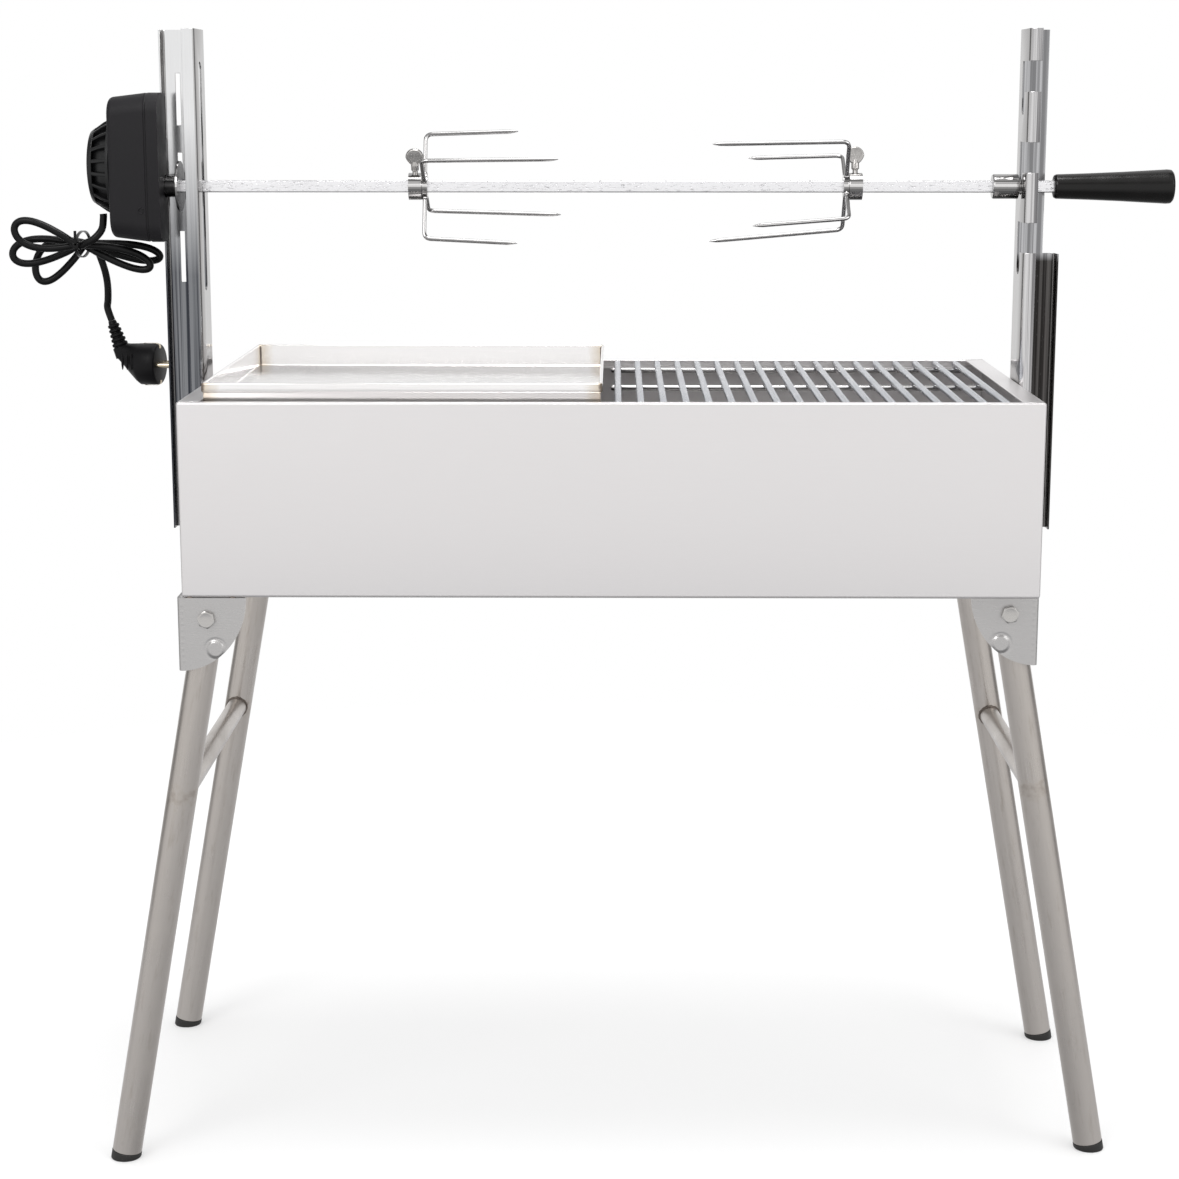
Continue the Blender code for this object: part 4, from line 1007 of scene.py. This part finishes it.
def build_cord():
    plug_frame = plug_place()
    path = smooth_path(cord_path(plug_frame))
    work = bmesh.new()
    sweep(work, path, [3.2 * MM] * len(path), 16)
    piece("cord_jacket", work, CORD_LOOK, ["power_cord"])
    low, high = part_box("cable_tie")
    tie = (low + high) / 2
    wide, tall = (high.y - low.y) / 2 - 0.8 * MM, (high.z - low.z) / 2 - 0.8 * MM
    work = bmesh.new()
    loops = []
    for a in turns(64):
        out = Vector((0, math.cos(a), math.sin(a)))
        middle = tie + Vector((0, wide * math.cos(a), tall * math.sin(a)))
        loops.append([middle + out * t * MM + Vector((w * MM, 0, 0))
                      for t, w in ((-0.6, -1.2), (0.5, -1.3), (0.5, 1.3), (-0.6, 1.2))])
    loft(work, loops, ring=True)
    head = tie + Vector((0, -wide, 0))
    slab(work, head + Vector((-2.6, -1.6, -2.4)) * MM, head + Vector((2.6, 1.2, 2.4)) * MM)
    slab(work, head + Vector((-1.2, -1.6, 0.2)) * MM, head + Vector((1.2, -0.6, 13)) * MM)
    piece("cable_tie_strap", work, CORD_LOOK, ["cable_tie"])
    build_plug(plug_frame)


def build_plug(place):
    """Angled plug: a round front, a wedge behind it and a ribbed boot for the cord."""
    work = bmesh.new()
    stations = ((10.0, 16.6, 0, 1.0), (9.6, 17.6, 0, 1.0), (8.6, 18.3, 0, 1.0),
                (4.0, 18.5, 0, 1.0), (-7.0, 18.4, 0, 0.98), (-11.0, 17.0, 1.2, 0.86),
                (-18.0, 13.4, 4.6, 0.72), (-25.0, 9.6, 9.0, 0.74), (-29.5, 8.0, 12.0, 0.80),
                (-31.0, 6.6, 13.0, 0.80))
    loops = []
    for x, radius, rise, flat in stations:
        loops.append([(x * MM, radius * flat * math.cos(a) * MM,
                       (rise + radius * math.sin(a)) * MM) for a in turns(ROUND)])
    loft(work, loops, place=place)
    turned(work, [(15.2 * MM, 9.4 * MM), (15.2 * MM, 9.9 * MM), (14.4 * MM, 9.9 * MM),
                  (14.4 * MM, 9.0 * MM)], place @ ALONG_X, 0.2 * MM)
    along = RELIEF_TOP - RELIEF_FOOT
    boot = facing(place @ RELIEF_FOOT, place.to_3x3() @ along)
    length = along.length
    ribs = 5
    profile = [(7.4 * MM, 0.0), (7.4 * MM, 9 * MM)]
    for k in range(ribs):
        level = 10 * MM + (length - 12 * MM) * k / ribs
        size = (7.0 - 0.45 * k) * MM
        profile += [(size - 1.3 * MM, level), (size, level + 0.8 * MM),
                    (size, level + 2.8 * MM), (size - 1.3 * MM, level + 3.4 * MM)]
    profile += [(3.4 * MM, length + 0.3 * MM)]
    turned(work, profile, boot, 0.4 * MM, 32)
    for way in (-1, 1):
        for k in range(4):
            spot = Vector((-20.5 + 4.2 * k, way * 13.5, 3.0)) * MM
            blob(work, (0, 0, 0), (1.2 * MM, 1.0 * MM, 7.5 * MM), place @
                 Matrix.Translation(spot))
    piece("plug_body", work, PLUG_LOOK, ["plug"], sharp=45)
    work = bmesh.new()
    for way in (-1, 1):
        spring = [Vector((x, 0, way * z)) * MM for x, z in
                  ((-4.5, 18.4), (-3.5, 18.9), (2.0, 19.0), (7.5, 18.8), (9.8, 17.6),
                   (10.3, 15.6), (10.2, 14.2))]
        rows = []
        for point in spring:
            rows.append([place @ (point + Vector((dx, dy, 0)) * MM) for dx, dy in
                         ((0, -1.9), (0, 1.9), (-0.5, 1.9), (-0.5, -1.9))])
        loft(work, rows)
    piece("plug_earth_contacts", work, PIN_LOOK, ["plug"], stands=False)
    for number, y in enumerate((-9.5, 9.5)):
        name = f"plug_pin_{number + 1}"
        work = bmesh.new()
        rod(work, place @ (Vector((-4, y, 0)) * MM), place @ (Vector((28.5, y, 0)) * MM),
            2.4 * MM, 24)
        piece(f"{name}_plated", work, PIN_LOOK, [name])


# ------------------------------------------------------------------ legs and brackets
LEG_RADIUS = 12.5 * MM
BRACE_RADIUS = 9 * MM
BRACE_DROP = 0.155
SPLAY = math.atan2(MOUNT["floor_front_right"].x - JOINT["legs_right_fold"]["pos_m"][0],
                   JOINT["legs_right_fold"]["pos_m"][2])


def leg_line(label, end):
    """Pivot point, floor point and unit direction down one leg."""
    pivot = Vector(JOINT[f"legs_{label}_fold"]["pos_m"])
    floor = MOUNT[f"floor_{end}_{label}"]
    pivot = Vector((pivot.x, floor.y, pivot.z))
    return pivot, floor, (floor - pivot).normalized()


def build_leg(label, end, look):
    pivot, floor, down = leg_line(label, end)
    place = facing(pivot, down)
    reach = (floor - pivot).length - 7 * MM
    work = bmesh.new()
    tube(work, LEG_RADIUS, LEG_RADIUS - SHEET, -8 * MM, reach, place)
    piece(f"leg_{end}_{label}_tube", work, look, [f"leg_{end}_{label}"])
    work = bmesh.new()
    spigot = LEG_RADIUS - SHEET - GAP
    top = reach + GAP
    loops = [circle(spigot - MM, top - 14 * MM), circle(spigot, top - 12 * MM),
             circle(spigot, top), circle(LEG_RADIUS - GAP, top),
             circle(LEG_RADIUS + 0.2 * MM, top + 0.6 * MM)]
    loops = [[place @ Vector(point) for point in loop] for loop in loops]
    for shrink, lift in ((0.2 * MM, 1.0 * MM), (-0.2 * MM, 0.3 * MM), (-1.2 * MM, 0.0)):
        outline = []
        for point in circle(LEG_RADIUS + shrink, top):
            spot = place @ Vector(point)
            outline.append(spot + down * (spot.z - lift) / -down.z)
        loops.append(outline)
    loft(work, loops)
    piece(f"foot_{end}_{label}_rubber", work, FOOT_LOOK, [f"foot_{end}_{label}"])


def saddle(radius, label, way, grow=0.0):
    """Closed curve where the brace meets one leg."""
    pivot, floor, down = leg_line(label, "rear" if way > 0 else "front")
    centre = pivot + down * BRACE_DROP
    across = Vector((down.z, 0, -down.x))
    points = []
    for a in turns(ROUND):
        offset = across * math.cos(a) * radius + down * math.sin(a) * radius
        depth = math.sqrt(max(LEG_RADIUS ** 2 - (radius * math.cos(a)) ** 2, 0.0))
        points.append(centre + offset - Vector((0, way * (depth + grow), 0)))
    return points


def build_legs():
    for label, side in SIDES:
        welds = []
        for end, _ in ENDS:
            pivot, _, down = leg_line(label, end)
            welds.append(pivot + down * BRACE_DROP)
        look = tube_look(f"leg_tube_{label}", side, welds)
        for end, _ in ENDS:
            build_leg(label, end, look)
        work = bmesh.new()
        inner = BRACE_RADIUS - SHEET
        loft(work, [saddle(BRACE_RADIUS, label, -1, GAP), saddle(BRACE_RADIUS, label, 1, GAP),
                    saddle(inner, label, 1, GAP), saddle(inner, label, -1, GAP)], ring=True)
        piece(f"brace_{label}_tube", work, look, [f"brace_{label}"])
        work = bmesh.new()
        for _, way in ENDS:
            bead(work, saddle(BRACE_RADIUS + 0.3 * MM, label, way, 0.2 * MM), 1.1 * MM,
                 ring=True, ripple=0.2)
        piece(f"brace_{label}_welds", work, WELD, [f"brace_{label}"], stands=False)


def bracket_relief(x, z, side, label):
    """How far the bracket's front face is pressed in at (x, z)."""
    pivot = Vector(JOINT[f"legs_{label}_fold"]["pos_m"])
    gap = math.hypot(x - (pivot.x - side * 6.7 * MM), z - (pivot.z - 25 * MM))
    slope = min(max((gap - 5.4 * MM) / (2.4 * MM), 0.0), 1.0)
    press = -1.3 * MM * (1 - slope * slope * (3 - 2 * slope))
    lifted = 0.35 * MM * math.exp(-((gap - 8.6 * MM) / (0.9 * MM)) ** 2)
    return press + lifted


def build_bracket(label, side, end, way):
    """Folded sheet: a quarter-round face, a bend and the outer wall, as one thick strip."""
    node = f"bracket_{end}_{label}"
    low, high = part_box(node)
    outer_x = high.x if side > 0 else low.x
    outer_y = high.y if way > 0 else low.y
    width, height = high.x - low.x, high.z - low.z
    wall_depth = high.y - low.y
    bend = 2.2 * MM
    flat = [(width * (1 - k / 90), 0.0) for k in range(88)]
    turn = [(bend * (1 - math.sin(a)), bend * (1 - math.cos(a)))
            for a in [math.pi / 2 * k / 8 for k in range(9)]]
    flat = [point for point in flat if point[0] > bend + 0.3 * MM]
    wall = [(0.0, bend + (wall_depth - bend) * k / 12) for k in range(1, 13)]
    stations = flat + turn + wall
    rows = 84
    random.seed(f"{node} spots")
    spots = [(2.6 * MM + random.uniform(-0.3, 0.3) * MM, -height * (0.10 + 0.085 * k))
             for k in range(10)]

    def skin(offset):
        loops = []
        for k, (u, v) in enumerate(stations):
            before, after = stations[max(k - 1, 0)], stations[min(k + 1, len(stations) - 1)]
            along = Vector((after[0] - before[0], after[1] - before[1])).normalized()
            normal = Vector((along.y, -along.x))
            drop = height * math.sqrt(max(1 - (u / width) ** 2, 0.0)) if v < bend else height
            drop = max(drop, 2.0 * MM)
            column = []
            for row in range(rows + 1):
                z = high.z - drop * row / rows
                x = outer_x - side * u
                raised = bracket_relief(x, z, side, label) if v == 0.0 else 0.0
                for spot_u, spot_v in spots:
                    near = ((u - spot_u) ** 2 + (z - high.z - spot_v) ** 2) / (0.9 * MM) ** 2
                    raised -= 0.22 * MM * math.exp(-near) if v < bend else 0.0
                push = offset + raised
                column.append(Vector((x - side * normal.x * push,
                                      outer_y - way * (v + normal.y * push), z)))
            loops.append(column)
        return loops

    outer, inner = skin(0.0), skin(-SHEET)
    work = bmesh.new()
    loft(work, [first + second[::-1] for first, second in zip(outer, inner)])
    shelf_y = sorted((outer_y - way * (SHEET + GAP), outer_y - way * wall_depth))
    shelf_x = sorted((outer_x - side * (SHEET + GAP), outer_x - side * (width - MM)))
    slab(work, (shelf_x[0], shelf_y[0], high.z - SHEET), (shelf_x[1], shelf_y[1], high.z))
    piece(f"{node}_sheet", work, LIP_LOOK, [node], sharp=30)
    work = bmesh.new()
    for u in (9 * MM, width - 11 * MM):
        blob(work, (outer_x - side * u, outer_y + way * 0.2 * MM, high.z + 0.1 * MM),
             (2.6 * MM, 1.3 * MM, 1.1 * MM))
    piece(f"{node}_spot_welds", work, WELD, [node], stands=False)


def build_leg_bolt(label, side, end, way):
    node, nut = f"leg_bolt_{end}_{label}", f"leg_nut_{end}_{label}"
    low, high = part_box(node)
    pivot = Vector(JOINT[f"legs_{label}_fold"]["pos_m"])
    outer = high.y if way > 0 else low.y
    head = 5.3 * MM
    place = facing(Vector((pivot.x, outer - way * head, pivot.z)), (0, way, 0))
    place = place @ Matrix.Rotation(math.radians(12 if side > 0 else 40), 4, "Z")
    length = high.y - low.y - head
    work = bmesh.new()
    hex_piece(work, 13 * MM, 0.0, head, place)
    turned(work, [(4 * MM, 0.5 * MM), (4 * MM, -length + 14 * MM)], place)
    threaded(work, 4 * MM, -length, -length + 14.5 * MM, place)
    piece(f"{node}_steel", work, FASTENER, [node])
    low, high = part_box(nut)
    place = facing(Vector((pivot.x, (low.y + high.y) / 2, pivot.z)), (0, way, 0))
    work = bmesh.new()
    hex_piece(work, 13 * MM, -3.2 * MM, 3.2 * MM, place, bore=4.1 * MM, crown_low=True)
    piece(f"{nut}_steel", work, FASTENER, [nut])


def build_brackets():
    for label, side in SIDES:
        for end, way in ENDS:
            build_bracket(label, side, end, way)
            build_leg_bolt(label, side, end, way)


# ------------------------------------------------------------------ studio
def build_floor():
    """Round pale floor that fades to white; steep reflections in the steel see it dim."""
    look = Look("floor_pale", (0.86, 0.86, 0.86), 0.6)
    away = look.distance_to((0, 0, 0))
    white = look.add("ShaderNodeEmission", {"Color": (1, 1, 1, 1), "Strength": 1.05})
    faded = look.add("ShaderNodeMixShader", {0: look.span(away, 0.7, 1.35, 0.35, 1.0),
                     1: look.shader.outputs[0], 2: white.outputs[0]})
    steep = look.parts(look.add("ShaderNodeNewGeometry").outputs["Incoming"])[2]
    dim = look.add("ShaderNodeEmission", {"Color": (0.97, 0.98, 1, 1),
                   "Strength": look.span(steep, 0.42, 0.70, 0.88, 0.30)})
    path = look.add("ShaderNodeLightPath")
    seen = look.add("ShaderNodeMixShader", {0: path.outputs["Is Glossy Ray"],
                    1: faded.outputs[0], 2: dim.outputs[0]})
    look.feed(look.tree.nodes["Material Output"].inputs["Surface"], seen.outputs[0])
    work = bmesh.new()
    bmesh.ops.create_circle(work, cap_ends=True, segments=96, radius=1.5)
    mesh = bpy.data.meshes.new("studio_floor")
    work.to_mesh(mesh)
    work.free()
    mesh.materials.append(look.material)
    floor = bpy.data.objects.new("studio_floor", mesh)
    bpy.context.scene.collection.objects.link(floor)


# tones a reflection meets, by heading (degrees, 0 behind the camera) and by height
AROUND = ((-180, 1.0), (-150, 1.0), (-128, 0.45), (-104, 0.20), (-84, 0.90), (-44, 1.0),
          (44, 1.0), (84, 0.90), (104, 0.20), (128, 0.45), (150, 1.0), (180, 1.0))
UPRIGHT = ((-1.0, 0.45), (-0.42, 0.7), (-0.32, 1.0), (0.30, 1.0), (0.42, 0.60), (0.56, 0.60),
           (0.66, 1.05), (1.0, 1.05))


def build_world():
    """White studio; reflections also meet darker cards at the sides and a grey ring above."""
    world = bpy.data.worlds.new("studio")
    bpy.context.scene.world = world
    graph = Graph(world)
    plain = graph.tree.nodes["Background"]
    graph.feed(plain.inputs["Color"], (1, 1, 1, 1))
    x, y, z = graph.parts(graph.add("ShaderNodeTexCoord").outputs["Generated"])
    heading = graph.math("ARCTAN2", x, graph.math("MULTIPLY", y, -1.0))
    degrees = graph.math("MULTIPLY", heading, 180 / math.pi)
    tone = graph.multiply(graph.ramp(degrees, AROUND), graph.ramp(z, UPRIGHT))
    cards = graph.add("ShaderNodeBackground", {"Color": tone, "Strength": 1.05})
    path = graph.add("ShaderNodeLightPath")
    chosen = graph.add("ShaderNodeMixShader", {0: path.outputs["Is Glossy Ray"],
                       1: plain.outputs[0], 2: cards.outputs[0]})
    graph.feed(graph.tree.nodes["World Output"].inputs["Surface"], chosen.outputs[0])


def build_light(name, place, target, size, power):
    lamp = bpy.data.lights.new(name, "AREA")
    lamp.shape = "DISK"
    lamp.size = size
    lamp.energy = power
    made = bpy.data.objects.new(name, lamp)
    made.location = place
    made.rotation_euler = (Vector(target) - Vector(place)).to_track_quat("-Z", "Y").to_euler()
    bpy.context.scene.collection.objects.link(made)


CAMERA_PLACE = Vector((TROUGH_MIDDLE + 3 * MM, -2.1667, 0.8907))
CAMERA_TURN = (math.pi / 2 - 0.193, 0.0, 0.010)      # looks slightly down, with a slight yaw


def build_studio():
    build_floor()
    build_world()
    build_light("key", (-1.6, -2.4, 2.6), (0, 0, 0.6), 1.6, 26)
    build_light("fill", (2.2, -1.4, 1.8), (0, 0, 0.6), 1.4, 10)
    build_light("top", (0.1, -0.2, 2.4), (0.1, 0, 0.5), 0.9, 22)
    view = bpy.data.cameras.new("camera")
    view.sensor_width = 36.0
    view.lens = 76.09
    view.clip_start, view.clip_end = 0.05, 50.0
    camera = bpy.data.objects.new("camera", view)
    camera.location = CAMERA_PLACE
    camera.rotation_euler = CAMERA_TURN
    bpy.context.scene.collection.objects.link(camera)
    bpy.context.scene.camera = camera
    bpy.context.scene.view_settings.view_transform = "Standard"


for build in (build_trough, build_rails, build_pan, build_grill_grate, build_coal_grate,
              build_posts, build_spit, build_forks, build_motor, build_vent_cap, build_cord,
              build_legs, build_brackets, build_studio):
    build()
